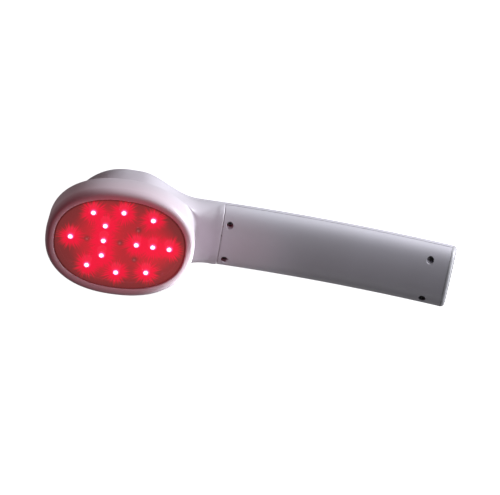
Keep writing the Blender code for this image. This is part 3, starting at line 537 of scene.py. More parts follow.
def backArch(podTurn, station, inset, steps):
    width = (halfWidth(station) - inset) * sin(podTurn)
    drop = (halfBack(station) - inset - handle["backStep"]) * sin(podTurn)
    back = (handle["podRadius"] - inset) * cos(podTurn)
    share = easeShare(station, handle["blendStart"], handle["blendEnd"])
    power = 2 / (2 + (handle["power"] - 2) * share)
    return section(station, width, -drop, power, spread(0.0, pi, steps), ahead=-back)


def wholeSection(station, inset, steps):
    width, rise = handle["halfWidth"] - inset, handle["halfThickness"] - inset
    turns = spread(0.0, 2 * pi, steps)[:-1]
    return section(station, width, rise, 2 / handle["power"], turns)


def lapPoints(podTurn, station, side, stepsUp):
    points = []
    for inset, height in stepsUp:
        width = (halfWidth(station) - inset) * sin(podTurn)
        back = (handle["podRadius"] - inset) * cos(podTurn)
        points.append(spine(station) @ Vector((-back, side * width, height)))
    return points


def innerHeight(across):
    share = (across / (handle["halfWidth"] - wall["thick"])) ** handle["power"]
    return (handle["halfThickness"] - wall["thick"]) * (1 - share) ** (1 / handle["power"])


# finishes

def maths(tree, operation, *values):
    made = add(tree, "ShaderNodeMath", operation=operation)
    fill(tree, made, *values)
    return made.outputs["Value"]


def vectorMaths(tree, operation, *values):
    made = add(tree, "ShaderNodeVectorMath", operation=operation)
    fill(tree, made, *values)
    return made.outputs["Value" if operation in ("LENGTH", "DOT_PRODUCT") else "Vector"]


def noise(tree, vector, scale, detail=3.0):
    made = add(tree, "ShaderNodeTexNoise", Scale=scale, Detail=detail)
    feed(tree, made.inputs["Vector"], vector)
    return made.outputs["Fac"]


def ramp(tree, factor, stops):
    made = add(tree, "ShaderNodeValToRGB")
    points = made.color_ramp.elements
    while len(points) < len(stops):
        points.new(0.5)
    for point, (place, colour) in zip(points, stops):
        point.position = place
        point.color = (*colour, 1)
    feed(tree, made.inputs["Fac"], factor)
    return made.outputs["Color"]


def grey(value):
    return (value, value, value)


def between(tree, factor, low, high, start=0.0, end=1.0, eased=False):
    made = add(tree, "ShaderNodeMapRange", interpolation_type="SMOOTHSTEP" if eased else "LINEAR")
    limits = {"From Min": start, "From Max": end, "To Min": low, "To Max": high}
    wire(tree, made, {**limits, "Value": factor})
    return made.outputs["Result"]


def bump(tree, height, strength, distance):
    made = add(tree, "ShaderNodeBump", Strength=strength, Distance=distance)
    feed(tree, made.inputs["Height"], height)
    return made.outputs["Normal"]


def objectPlace(tree):
    return add(tree, "ShaderNodeTexCoord").outputs["Object"]


# noise scales are per metre: clouds of the tone, wandering gloss, and the grain of the mould
plastic = {
    "clouds": 28.0, "cloudDetail": 4.0, "cloudStops": (0.30, 0.70), "glossScale": 160.0,
    "gloss": (-0.05, 0.06), "grain": 2600.0, "grainDepth": 0.004 * mm, "grainPower": 0.25,
}
steel = {
    "clouds": 300.0, "cloudStops": (0.3, 0.7), "glossScale": 900.0, "gloss": (-0.08, 0.1),
    "grain": 3500.0, "grainDepth": 0.003 * mm, "grainPower": 0.15,
}


def clouded(tree, place, kind, tone, shade):
    clouds = noise(tree, place, kind["clouds"], kind.get("cloudDetail", 3.0))
    return ramp(tree, clouds, tuple(zip(kind["cloudStops"], (shade, tone))))


def wanderingGloss(tree, place, kind, rough):
    low, high = (rough + change for change in kind["gloss"])
    return between(tree, noise(tree, place, kind["glossScale"]), low, high)


def moulded(name, tone, shade, rough, grain=plastic["grain"], depth=plastic["grainDepth"]):
    made, tree, shader = newFinish(name)
    place = objectPlace(tree)
    wire(tree, shader, {
        "Base Color": clouded(tree, place, plastic, tone, shade),
        "Roughness": wanderingGloss(tree, place, plastic, rough),
        "Normal": bump(tree, noise(tree, place, grain, 2.0), plastic["grainPower"], depth),
    })
    return made


def metal(name, tone, shade, rough):
    made, tree, shader = newFinish(name)
    place = objectPlace(tree)
    wire(tree, shader, {
        "Base Color": clouded(tree, place, steel, tone, shade),
        "Roughness": wanderingGloss(tree, place, steel, rough),
        "Normal": bump(
            tree, noise(tree, place, steel["grain"]), steel["grainPower"], steel["grainDepth"]
        ),
        "Metallic": 1.0,
    })
    return made


def devicePlace(tree):
    # object coordinates turned back into the device's own frame
    made = add(tree, "ShaderNodeMapping", vector_type="TEXTURE")
    wire(tree, made, {
        "Location": device.translation, "Rotation": (0, restTilt, 0), "Vector": objectPlace(tree),
    })
    return made.outputs["Vector"]


# painted red light: emission in the head's plastic stands in for the diodes' red light falling on
# it; how far it reaches, and its power by distance
paintedRedSpill = {
    "sizes": (37.4 * mm, 27.8 * mm, 18.0 * mm), "far": 3.0, "colour": (1.0, 0.04, 0.10),
    "middle": (7.0 * mm, 7.0 * mm, 0.0),
    "stops": ((0.22, 0.21), (0.28, 0.13), (0.36, 0.08), (0.44, 0.05), (0.56, 0.035), (0.85, 0.0)),
}


def shellWithPaintedRedSpill():
    made = moulded("pearlShell", tone=(0.67, 0.64, 0.72), shade=(0.63, 0.60, 0.67), rough=0.36)
    tree = made.node_tree
    offset = vectorMaths(tree, "SUBTRACT", devicePlace(tree), paintedRedSpill["middle"])
    near = vectorMaths(tree, "DIVIDE", offset, paintedRedSpill["sizes"])
    share = maths(tree, "DIVIDE", vectorMaths(tree, "LENGTH", near), paintedRedSpill["far"])
    stops = [(place, grey(power)) for place, power in paintedRedSpill["stops"]]
    # painted red light from the diodes, as emission that fades with distance from the window
    wire(tree, tree.nodes["Principled BSDF"], {
        "Emission Strength": ramp(tree, share, stops), "Emission Color": (*paintedRedSpill["colour"], 1),
    })
    return made


finish = {
    "shell": shellWithPaintedRedSpill(),
    "button": moulded("paleButton", (0.60, 0.58, 0.64), (0.56, 0.54, 0.60), 0.40),
    "gasket": moulded(
        "blackFoamRubber", (0.030, 0.028, 0.030), grey(0.018), 0.75, 900.0, 0.02 * mm
    ),
    "board": moulded(
        "darkSolderMask", (0.060, 0.016, 0.018), (0.030, 0.010, 0.012), 0.42, 1400.0, 0.006 * mm
    ),
    "driver": moulded(
        "greenSolderMask", (0.035, 0.20, 0.075), (0.020, 0.13, 0.050), 0.34, 1400.0, 0.006 * mm
    ),
    "black": moulded("blackMoulding", (0.028, 0.028, 0.030), (0.018, 0.018, 0.019), 0.42),
    "foam": moulded("greyFoam", grey(0.14), grey(0.07), 0.90, 1100.0, 0.05 * mm),
    "cell": moulded("blueSleeve", (0.07, 0.17, 0.48), (0.05, 0.13, 0.38), 0.28),
    "redLead": moulded("redInsulation", (0.52, 0.02, 0.02), (0.42, 0.015, 0.015), 0.40),
    "blackLead": moulded("blackInsulation", grey(0.022), grey(0.015), 0.40),
    "screw": metal("blackedScrew", (0.30, 0.29, 0.29), (0.20, 0.195, 0.19), 0.38),
    "can": metal("drawnCan", (0.72, 0.72, 0.73), (0.62, 0.62, 0.63), 0.26),
    "pin": metal("nickelPin", (0.68, 0.67, 0.63), (0.58, 0.57, 0.53), 0.22),
}
print("finishes", len(finish))

# the diodes' places as shares of their two pitches: a row of seven, a square, and six round them
pitchAlong = head["windowLength"] * 0.2505
pitchAcross = head["windowWidth"] * 0.3371
redShares = (
    (-3, 0), (-1, 0), (1, 0), (2, 0), (3, 0), (-1, 1), (-1, -1),
    (0, 2.03), (0, -2.03), (-1.81, 1.78), (-1.81, -1.78), (1.81, 1.78), (1.81, -1.78),
)
infraredShares = ((-2, 0), (0, 0), (1, 1), (1, -1))


def diodePlace(share):
    return Vector((share[0] * pitchAlong, share[1] * pitchAcross, 0.0))


# head housing: ledge, rebate, lip, skirt and shoulder, drawn out into the neck

def neckPlaces():
    return [(pi / 2, station) for station in spread(0.0, handle["parting"], fine["neck"])[:-1]]


def seamRim(podTurn, station, side):
    low = wall["seam"]
    high = wall["rise"] + wall["seam"]
    reach = wall["thick"] - wall["tongue"]
    stepsUp = ((0.0, low), (reach, low), (reach, high), (wall["thick"], high))
    return (*lapPoints(podTurn, station, side, stepsUp), True)


def seamFan():
    rim = []
    outer, middle, inner = (
        frontArch(handle["parting"], inset, wall["seam"], fine["arch"])
        for inset in (0.0, wall["thick"] - wall["tongue"], wall["thick"])
    )
    for index, point in enumerate(outer):
        atSeam = index in (0, len(outer) - 1)
        lift = Vector((0.0, 0.0, wall["rise"] if atSeam else 0.0))
        rim.append((point, middle[index], middle[index] + lift, inner[index] + lift, atSeam))
    places = list(reversed(neckPlaces()))
    left = [seamRim(turn, station, -1) for turn, station in places]
    pod = []
    for step in range(1, 2 * fine["pod"]):
        turn = pi / 2 * abs(step - fine["pod"]) / fine["pod"]
        pod.append(seamRim(turn, 0.0, -1 if step < fine["pod"] else 1))
    right = [seamRim(turn, station, 1) for turn, station in reversed(places)]
    return rim + left + pod + right


def housingPath(rim, inset, shoulderSteps, fallSteps):
    end = rim[0] if inset == 0 else rim[3]
    plan = atan2(rim[0].y, rim[0].x)
    out = Vector((cos(plan), sin(plan), 0.0))
    back = Vector((0.0, 0.0, -1.0))
    fromNeck = abs(plan)
    flare = 1 - 2 * easeShare(fromNeck, head["flareFull"], head["flareGone"])
    length, width = headLength - head["skirtEnd"], headWidth - head["skirtSide"]
    skirt = ovalPoint(length, width, plan, head["skirtDepth"]) - out * inset
    radius = head["shoulder"] + flare * inset
    points = [
        skirt + out * flare * radius * (1 - cos(turn)) + back * radius * sin(turn)
        for turn in quarter(shoulderSteps)
    ]
    start = points.pop()
    run = hypot(end.x, end.y) - hypot(start.x, start.y)
    if flare > 0:
        pull = out * (flare * head["neckPull"] * run) + back * ((1 - flare) * head["shoulder"])
    else:
        inward = head["groove"] + head["groovePull"] * max(-run, 0.0)
        pull = out * (flare * inward) + back * ((1 + flare) * head["shoulder"])
    seamPull = easeShare(fromNeck, head["arch"], 2 * head["arch"])
    along = spine(handle["parting"]).to_3x3() @ Vector((-1.0, 0.0, 0.0))
    reach = max(head["release"] * run, head["shoulder"] * 2)
    release = along * (1 - seamPull) * reach - back * seamPull * head["shoulder"] * 2
    edge = 0.0 if inset else head["seamRound"] if rim[4] else head["endRound"]
    last = end + release.normalized() * edge
    controls = (start, start + pull, last + release, last)
    for t in spread(0.0, 1.0, fallSteps):
        weights = ((1 - t) ** 3, 3 * t * (1 - t) ** 2, 3 * t * t * (1 - t), t ** 3)
        points.append(sum((weight * point for weight, point in zip(weights, controls)), Vector()))
    inward = (rim[1] - rim[0]).normalized()
    for turn in quarter(head["roundSteps"], 1) if edge else []:
        rolled = release.normalized() * edge * (1 - sin(turn)) + inward * edge * (1 - cos(turn))
        points.append(end + rolled)
    return points


def housingRing(rim):
    plan = atan2(rim[0].y, rim[0].x)
    crestLength = head["windowLength"] + head["crestShare"] * head["lipEnd"]
    crestWidth = head["windowWidth"] + head["crestShare"] * head["lipSide"]
    points = [windowPoint(-head["ledge"], plan, ledgeDepth), windowPoint(0.0, plan, ledgeDepth)]
    for turn in quarter(fine["ledge"])[:-1]:
        length = crestLength - (crestLength - head["windowLength"]) * cos(turn)
        width = crestWidth - (crestWidth - head["windowWidth"]) * cos(turn)
        points.append(ovalPoint(length, width, plan, -head["lipRise"] * sin(turn)))
    for turn in quarter(fine["lip"]):
        length = crestLength + (headLength - crestLength) * sin(turn)
        width = crestWidth + (headWidth - crestWidth) * sin(turn)
        drop = head["lipRise"] + head["widest"]
        points.append(ovalPoint(length, width, plan, head["widest"] - drop * cos(turn)))
    points += housingPath(rim, 0.0, fine["shoulder"], fine["fall"])
    points += [rim[1], rim[2]]
    points += list(reversed(housingPath(rim, wall["thick"], fine["inner"], 2 * fine["inner"])))
    length, width = headLength - wall["thick"], headWidth - wall["thick"]
    half = wall["thick"] / 2
    points.append(ovalPoint(length, width, plan, ledgeBack + half))
    points.append(ovalPoint(length - half, width - half, plan, ledgeBack))
    points.append(windowPoint(-head["ledge"], plan, ledgeBack))
    return points


posts = {"radius": 2.3 * mm, "pilot": 1.3 * mm, "turnShare": 0.2, "screw": 5.0 * mm}


def postPlaces():
    turns = [side + end * posts["turnShare"] * pi for side in (0.0, pi) for end in (1, -1)]
    return [windowPoint(0.0, turn, 0.0).xy for turn in turns]


def calmNeck(piece):
    # evens out the fan of lines that runs from the skirt to the neck's corners
    first, last = fine["shoulder"] + 2, -head["roundSteps"] - 4
    soft = []
    for rim in seamFan():
        if rim[0].x > headLength * head["calmFrom"]:
            soft += housingPath(rim, 0.0, fine["shoulder"], fine["fall"])[first:last]
    tree = KDTree(len(soft))
    for index, point in enumerate(soft):
        tree.insert(point, index)
    tree.balance()
    pick(piece, "VERT", lambda vert: tree.find(vert.co)[2] < head["calmReach"])
    bpy.ops.mesh.vertices_smooth(factor=0.5, repeat=head["calm"])
    return done(piece)


def buildHeadShell():
    piece = skin("headShell", [housingRing(rim) for rim in seamFan()], joined=True)
    calmNeck(piece)
    low, high = -boardDepth + wall["gap"], -ledgeBack + wall["thick"] / 2
    weld(piece, drums("post", posts["radius"], low, high, postPlaces()))
    low, high = -boardBack - wall["over"], -boardBack - wall["gap"] * 2 + posts["screw"]
    cut(piece, drums("pilot", posts["pilot"], low, high, postPlaces(), fine["pilot"]))
    smooth(settle(piece))
    return dress(piece, finish["shell"], "housing", "shell", "head_housing")


headShell = buildHeadShell()
print("head shell", len(headShell.data.polygons))

# back shell: the pod's back and the handle's back, with the button's dish and what stands inside
cover = {
    "seat": 6.5 * mm, "tubeWall": 1.1 * mm, "tubeFloor": 1.8 * mm, "bore": 2.0 * mm,
    "pilot": 1.3 * mm, "boss": 2.7 * mm, "screw": 10.0 * mm, "rimRound": 0.32 * mm,
    "rimDeep": 3.0 * mm, "partEdge": 0.10 * mm, "partReach": 0.6 * mm, "onPlane": 0.01 * mm,
    "corner": 50, "neckStation": 61.5 * mm, "neckOffset": 11.0 * mm,
    "endStation": 179.6 * mm, "endOffset": 12.5 * mm,
}
button = {
    "station": 104.0 * mm, "radius": 5.5 * mm, "dish": 8.5 * mm, "dishDepth": 0.5 * mm,
    "sunk": 0.3 * mm, "flange": 1.2 * mm, "flangeHeight": 1.0 * mm, "round": 0.5 * mm,
    "hollow": 0.25 * mm, "hollowInset": 0.4 * mm, "steps": 6, "turns": 64,
}
screwPairs = (
    (cover["neckStation"], cover["neckOffset"]), (cover["endStation"], cover["endOffset"]),
)
screwFloor = cover["seat"] - cover["tubeFloor"]
throughHandle = handle["halfThickness"] * 2
# the driver board stands over the tactile switch, which stands over the button's flange
driver = {
    "middle": 93.0 * mm, "half": 25.0 * mm, "postRun": 21.0 * mm, "postOffset": 8.0 * mm,
    "post": 2.4 * mm, "switchRoom": 6.0 * mm,
}
cell = {
    "middle": 145.0 * mm, "half": 24.5 * mm, "radius": 7.0 * mm, "saddleRun": 14.5 * mm,
    "saddleHalf": 8.5 * mm, "saddleThick": 2.0 * mm, "saddleTop": -3.0 * mm,
}
flangeRadius = button["radius"] + wall["gap"] + button["flange"]
driverBack = innerHeight(flangeRadius) - wall["gap"] - driver["switchRoom"]
driverFront = driverBack - stack["board"]
driverPosts = (
    (-driver["postRun"], driver["postOffset"]), (driver["postRun"], -driver["postOffset"]),
)
lengthwise = Matrix.Rotation(pi / 2, 4, "Y")


def along(station, across=0.0, height=0.0):
    return spine(station) @ Matrix.Translation((0.0, across, height))


def trimmed(piece, first, last):
    # cuts what stands in the handle to the middle of its wall
    stations = spread(first, last, fine["room"])
    rings = [wholeSection(station, wall["thick"] / 2, fine["section"]) for station in stations]
    return combine(piece, skin("room", rings), "INTERSECT")


def screwPair(name, station, offset, radius, low, high, sides):
    # the same drum at both screws of a pair
    places = [(0.0, side * offset) for side in (1, -1)]
    return moved(drums(name, radius, low, high, places, sides), spine(station))


def backRing(podTurn, station):
    tongue = ((wall["tongue"], 0.0), (wall["tongue"], wall["rise"]), (wall["thick"], wall["rise"]))
    right = lapPoints(podTurn, station, 1, tongue)
    left = lapPoints(podTurn, station, -1, tongue)
    outer = backArch(podTurn, station, 0.0, fine["back"])
    inner = backArch(podTurn, station, wall["thick"], fine["back"])
    return outer + left + list(reversed(inner)) + list(reversed(right))


def backPlaces():
    pod = [(turn, 0.0) for turn in quarter(fine["pod"])[:-1]]
    stations = spread(handle["parting"], handle["end"], fine["handle"])
    return pod + neckPlaces() + [(pi / 2, station) for station in stations]


def addDriverPosts(piece):
    place, start = spine(driver["middle"]), driver["middle"] - driver["half"]
    low, high = -throughHandle, -driverBack - wall["gap"]
    stands = moved(drums("post", driver["post"], low, high, driverPosts, fine["boss"]), place)
    weld(piece, trimmed(stands, start, start + 2 * driver["half"]))
    low, high = -driverFront - posts["screw"], -driverBack + wall["over"]
    cut(piece, moved(drums("hole", cover["pilot"], low, high, driverPosts, fine["pilot"]), place))


def addSaddles(piece):
    # two hollowed ribs that carry the cell
    half, wide = cell["saddleThick"] / 2, cell["saddleHalf"]
    ribs = []
    for middle in (-cell["saddleRun"], cell["saddleRun"]):
        low = (middle - half, -wide, -throughHandle)
        ribs.append(block("rib", low, (middle + half, wide, cell["saddleTop"])))
    ribs = moved(joinAll(ribs), spine(cell["middle"]))
    trimmed(ribs, cell["middle"] - cell["half"], cell["middle"] + cell["half"])
    radius = cell["radius"] + wall["gap"]
    hollow = drum("hollow", radius, -cell["half"], cell["half"], sides=fine["saddle"])
    cut(ribs, moved(hollow, spine(cell["middle"]) @ lengthwise))
    weld(piece, ribs)


def buildBackShell():
    piece = skin("backShell", [backRing(*place) for place in backPlaces()], firstClosed=False)
    top, around = screwFloor - wall["gap"], 3 * cover["boss"]
    boss = (cover["boss"], -throughHandle, top, fine["boss"])
    hole = (cover["pilot"], cover["seat"] - cover["screw"], top + wall["over"], fine["pilot"])
    for station, offset in screwPairs:
        bosses = screwPair("boss", station, offset, *boss)
        weld(piece, trimmed(bosses, station - around, station + around))
        cut(piece, screwPair("hole", station, offset, *hole))
    addDriverPosts(piece)
    addSaddles(piece)
    dishFloor = handle["halfThickness"] - button["dishDepth"] - handle["backStep"]
    dish = drum("dish", button["dish"], -throughHandle, -dishFloor, sides=fine["dish"])
    cut(piece, moved(dish, spine(button["station"])))
    radius = button["radius"] + wall["gap"]
    hole = drum("hole", radius, -throughHandle, -cover["seat"], sides=fine["nose"])
    cut(piece, moved(hole, spine(button["station"])))
    smooth(settle(piece))
    return dress(piece, finish["shell"], "housing", "shell", "back_shell")


backShell = buildBackShell()
print("back shell", len(backShell.data.polygons))


# handle cover: one section spun about the bend's axis, then bored for its four screws
mouth = {"steps": 4, "first": pi / 9, "last": pi / 9 + pi / 4, "flare": 1.25}


def coverSection(station):
    reach = wall["thick"] - wall["tongue"]
    outer = frontArch(station, handle["coverStep"], wall["seam"], fine["arch"])
    inner = frontArch(station, wall["thick"], wall["seam"], fine["arch"])
    high = wall["rise"] + wall["seam"]
    stepsUp = ((reach, wall["seam"]), (reach, high), (wall["thick"], high))
    left, right = (lapPoints(pi / 2, station, side, stepsUp) for side in (-1, 1))
    return outer + left + list(reversed(inner[1:-1])) + list(reversed(right))


def skinHeight(across):
    width = handle["halfWidth"] - handle["coverStep"]
    rise = handle["halfThickness"] - handle["coverStep"]
    share = (abs(across) / width) ** handle["power"]
    return wall["seam"] + (rise - wall["seam"]) * (1 - share) ** (1 / handle["power"])


def mouthRing(offset, radius, depth):
    turns = [2 * pi * (step + 0.5) / fine["mouth"] for step in range(fine["mouth"])]
    places = [(radius * cos(turn), offset + radius * sin(turn)) for turn in turns]
    return [(ahead, across, skinHeight(across) - depth) for ahead, across in places]


def recessMouth(station, offset):
    # what the round at the recess's mouth takes away, following the slope of the skin
    edge = cover["rimRound"]
    rings = [mouthRing(offset, cover["bore"] - edge, 2 * edge)]
    for turn in spread(mouth["first"], mouth["last"], mouth["steps"]):
        radius = cover["bore"] + edge * (1 - cos(turn))
        rings.append(mouthRing(offset, radius, edge * (1 - sin(turn))))
    wide = cover["bore"] + edge * mouth["flare"]
    rings += [mouthRing(offset, wide, -height) for height in (edge, cover["rimDeep"])]
    return moved(skin("mouth", rings), spine(station))


def buildCover():
    start = handle["parting"] + wall["gap"]
    piece = outline("handleCover", coverSection(start), closed=True)
    bend = (handle["bendStart"], 0.0, handle["bendRadius"] - handle["spineDepth"])
    spin(piece, fine["handle"], (handle["end"] - start) / handle["bendRadius"], bend, (0, 1, 0))
    bpy.ops.mesh.select_all(action="DESELECT")
    bpy.ops.mesh.select_mode(type="EDGE")
    bpy.ops.mesh.select_non_manifold()
    bpy.ops.mesh.edge_face_add()
    done(piece)
    outwards(piece)
    # a small bevel where the cover starts, on the outer corner alone
    plane = spine(start).inverted()
    outside = handle["halfThickness"] - cover["partReach"]

    def atParting(edge):
        spots = [plane @ vert.co for vert in edge.verts]
        return (all(abs(spot.x) < cover["onPlane"] for spot in spots)
                and edge.calc_face_angle(0) > radians(cover["corner"])
                and sum(spot.yz.length for spot in spots) / 2 > outside)

    pick(piece, "EDGE", atParting)
    bpy.ops.mesh.bevel(offset=cover["partEdge"], segments=2, affect="EDGES", clamp_overlap=True)
    done(piece)
    tubeRadius = cover["bore"] + cover["tubeWall"]
    tube = (tubeRadius, screwFloor, throughHandle, fine["tube"])
    bore = (cover["bore"], cover["seat"], throughHandle, fine["bore"])
    low, high = screwFloor - wall["over"], cover["seat"] + wall["over"]
    hole = (cover["pilot"], low, high, fine["pilot"])
    for station, offset in screwPairs:
        first = max(station - 2 * tubeRadius, start + wall["gap"])
        tubes = screwPair("tube", station, offset, *tube)
        weld(piece, trimmed(tubes, first, station + 2 * tubeRadius))
        for opening in (bore, hole):
            cut(piece, screwPair("opening", station, offset, *opening))
        for side in (1, -1):
            outwards(cut(piece, recessMouth(station, side * offset)))
    smooth(settle(piece))
    return dress(piece, finish["shell"], "housing", "shell", "handle_cover")


handleCover = buildCover()
print("handle cover", len(handleCover.data.polygons))

# end cap: a plate with a full round at its edge, a spigot into the handle and the jack's collar
cap = {
    "thick": 2.2 * mm, "round": 2.2 * mm, "seam": 0.06 * mm, "spigot": 3.5 * mm,
    "spigotWall": 1.3 * mm, "collar": 6.0 * mm, "collarWall": 1.2 * mm, "spare": 0.02 * mm,
    "roundSteps": 8, "steps": 128, "paintedFaceShade": 0.26, "faceFade": (0.03 * mm, 0.01 * mm),
}
jack = {
    "bore": 2.8 * mm, "nose": 3.8 * mm, "half": 4.5 * mm, "length": 10.0 * mm, "depth": 9.0 * mm,
    "pin": 1.0 * mm, "edge": 0.3 * mm, "tipSteps": 5,
}
plateStart = handle["end"] + wall["gap"]


def capFinish():
    # painted shade: the whole cap is toned darker than the shell against the strong lamps on it, so
    # the band looks as pale as the shell, and the flat face round the jack is painted greyer still
    made = moulded("pearlEndCap", tone=(0.44, 0.425, 0.46), shade=(0.41, 0.395, 0.43), rough=0.20)
    tree = made.node_tree
    colour = tree.nodes["Principled BSDF"].inputs["Base Color"]
    face = spine(plateStart + cap["thick"] - cap["spare"])
    axis = face.to_3x3() @ Vector((1.0, 0.0, 0.0))
    ahead = vectorMaths(tree, "DOT_PRODUCT", devicePlace(tree), axis)
    near, far = (face.translation.dot(axis) - back for back in cap["faceFade"])
    # painted shade on the flat face, fading in along the cap's axis
    stops = ((0.0, grey(1.0)), (1.0, grey(cap["paintedFaceShade"])))
    paintedShade = ramp(tree, between(tree, ahead, 0.0, 1.0, near, far), stops)
    feed(tree, colour, vectorMaths(tree, "MULTIPLY", colour.links[0].from_socket, paintedShade))
    return made


def buildEndCap():
    end = plateStart + cap["thick"] - cap["spare"]
    front, back = handle["end"] + cap["seam"], plateStart - cap["spigot"]
    outer = wall["thick"] + wall["gap"]
    inner = outer + cap["spigotWall"]
    rings = [(front, inner), (back, inner), (back, outer), (front, outer)]
    rings.append((front, handle["coverStep"]))
    for turn in quarter(cap["roundSteps"]):
        inset = handle["coverStep"] + cap["round"] * (1 - cos(turn))
        rings.append((end - cap["round"] * (1 - sin(turn)), inset))
    piece = skin("endCap", [wholeSection(*ring, cap["steps"]) for ring in rings])
    room = jack["half"] + wall["gap"]
    out = jack["half"] + wall["gap"] + cap["collarWall"]
    collar = block("collar", (-cap["collar"], -out, -out), (wall["gap"], out, out))
    weld(piece, moved(collar, spine(plateStart)))
    space = block("space", (-cap["collar"] - wall["over"], -room, -room), (0.0, room, room))
    cut(piece, moved(space, spine(plateStart)))
    radius, high = jack["nose"] + wall["gap"], cap["thick"] + wall["over"]
    opening = drum("opening", radius, -wall["over"], high, sides=fine["nose"])
    cut(piece, moved(opening, spine(plateStart) @ lengthwise))
    smooth(settle(piece))
    return dress(piece, capFinish(), "housing", "shell", "end_cap")


endCap = buildEndCap()
print("end cap", len(endCap.data.polygons))

# window pane
pane = {
    "chamfer": 0.3 * mm, "margin": 0.12 * mm, "steps": 4, "gasketMargin": 0.2 * mm,
    "tone": (0.10, 0.006, 0.008), "glossScale": 220.0, "gloss": (0.10, 0.16), "ior": 1.49,
}
# painted light on the pane: the diodes' spots, halos with rays and wide glow, darker spots over the
# infrared diodes, and painted shade towards its rim, all as the pane's emission
glow = {
    "lean": (0.15 * mm, 1.34 * mm),
    "spot": (1.1 * mm, 2.4 * mm), "halo": (2.3 * mm, 7.8 * mm), "wide": (4.0 * mm, 20.0 * mm),
    "haloPower": 0.50, "widePower": 0.105, "most": 0.54, "spotPower": 0.42,
    "dimSpot": (0.8 * mm, 2.6 * mm), "dimPower": -0.10,
    "raySharpness": 15.0, "rayReach": (0.68, 1.36), "rayRange": (0.34, 0.66), "alpha": 0.78,
    "stops": (
        (0.00, (0.150, 0.034, 0.034)), (0.12, (0.22, 0.033, 0.035)), (0.26, (0.55, 0.026, 0.038)),
        (0.42, (0.86, 0.015, 0.048)), (0.58, (0.92, 0.014, 0.052)), (0.86, (1.0, 0.065, 0.30)),
        (1.00, (1.0, 0.12, 0.40)),
    ),
    "edge": (0.925, 0.965), "edgeShade": 0.42,
}


def fading(tree, distance, start, end, power):
    return between(tree, distance, power, 0.0, start, end, eased=True)


def fromDiode(tree, place, share):
    # distance on the pane from the point where one diode is seen, and the heading from it
    centre = diodePlace(share) + Vector((*glow["lean"], 0.0))
    flat = vectorMaths(tree, "MULTIPLY_ADD", place, (1, 1, 0), -centre)
    heading = vectorMaths(tree, "NORMALIZE", flat)
    return vectorMaths(tree, "LENGTH", flat), vectorMaths(tree, "ADD", heading, centre / mm)


def summed(tree, terms):
    total = terms[0]
    for term in terms[1:]:
        total = maths(tree, "ADD", total, term)
    return total


def redPaneWithPaintedGlow():
    made, tree, shader = newFinish("redPaneWithPaintedGlow")
    place = devicePlace(tree)
    spots, terms = [], []
    for share in redShares:
        # painted light: a magenta spot, a red halo with fine rays, and a wide faint glow, as the
        # pane's emission
        distance, heading = fromDiode(tree, place, share)
        streaks = noise(tree, heading, glow["raySharpness"], 1.0)
        rays = between(tree, streaks, *glow["rayReach"], *glow["rayRange"])
        spots.append(fading(tree, distance, *glow["spot"], glow["spotPower"]))
        drawn = maths(tree, "DIVIDE", distance, rays)
        terms.append(fading(tree, drawn, *glow["halo"], glow["haloPower"]))
        terms.append(fading(tree, distance, *glow["wide"], glow["widePower"]))
    # painted shade: a darker spot on the pane over each infrared diode
    for share in infraredShares:
        distance, heading = fromDiode(tree, place, share)
        terms.append(fading(tree, distance, *glow["dimSpot"], glow["dimPower"]))
    total = maths(tree, "MINIMUM", summed(tree, terms), glow["most"])
    total = maths(tree, "ADD", total, summed(tree, spots))
    # painted shade: the pane's emission is darkened towards its rim, where the lip's shadow falls
    axes = add(tree, "ShaderNodeSeparateXYZ")
    feed(tree, axes.inputs["Vector"], place)
    reach = []
    for axis, half in (("X", head["windowLength"]), ("Y", head["windowWidth"])):
        share = maths(tree, "ABSOLUTE", maths(tree, "DIVIDE", axes.outputs[axis], half))
        reach.append(maths(tree, "POWER", share, head["power"]))
    toEdge = maths(tree, "ADD", *reach)
    shaded = between(tree, toEdge, 1.0, glow["edgeShade"], *glow["edge"], eased=True)
    wire(tree, shader, {
        "Emission Color": ramp(tree, total, glow["stops"]),
        "Emission Strength": shaded,
        "Base Color": (*pane["tone"], 1),
        "Roughness": between(tree, noise(tree, place, pane["glossScale"]), *pane["gloss"]),
        "Alpha": glow["alpha"],
        "IOR": pane["ior"],
    })
    return made


def buildPane():
    rings = [ovalRing(-pane["margin"], stack["pane"]), ovalRing(-pane["margin"], pane["chamfer"])]
    for turn in quarter(pane["steps"], 1):
        inset = pane["chamfer"] * (1 - cos(turn))
        rings.append(ovalRing(-pane["margin"] - inset, pane["chamfer"] * (1 - sin(turn))))
    piece = skin("windowPane", rings)
    smooth(settle(piece), angle=60)
    return dress(piece, finish["window"], "housing", "window", "window")


finish["window"] = redPaneWithPaintedGlow()
buildPane()


def buildGasket():
    low, high = gasketDepth + stack["gasket"], gasketDepth
    outer, inner = -pane["gasketMargin"], -head["ledge"]
    corners = ((outer, high), (outer, low), (inner, low), (inner, high))
    piece = skin("gasketRing", [ovalRing(*corner) for corner in corners], joined=True)
    smooth(settle(piece))
    return dress(piece, finish["gasket"], "housing", "gasket", "window_gasket")


buildGasket()
print("window pane and gasket")

# diodes: 5 mm round bodies with a flange, a flat beside the short leg, and a lit core at the tip
diode = {
    "radius": 2.5 * mm, "flange": 0.4 * mm, "flangeHeight": 1.0 * mm, "edge": 0.15 * mm,
    "steps": 12, "turns": 40,
}
epoxy = {"glossScale": 600.0, "gloss": (0.06, 0.16), "ior": 1.52, "coat": 0.4}
# looks by the distance from the diode's axis, in radii
lit = {
    "power": 52.0, "colour": (1.0, 0.55, 0.90), "body": (0.80, 0.10, 0.14),
    "glow": ((0.0, grey(1.0)), (0.42, grey(1.0)), (0.56, grey(0.012)), (1.0, grey(0.006))),
}
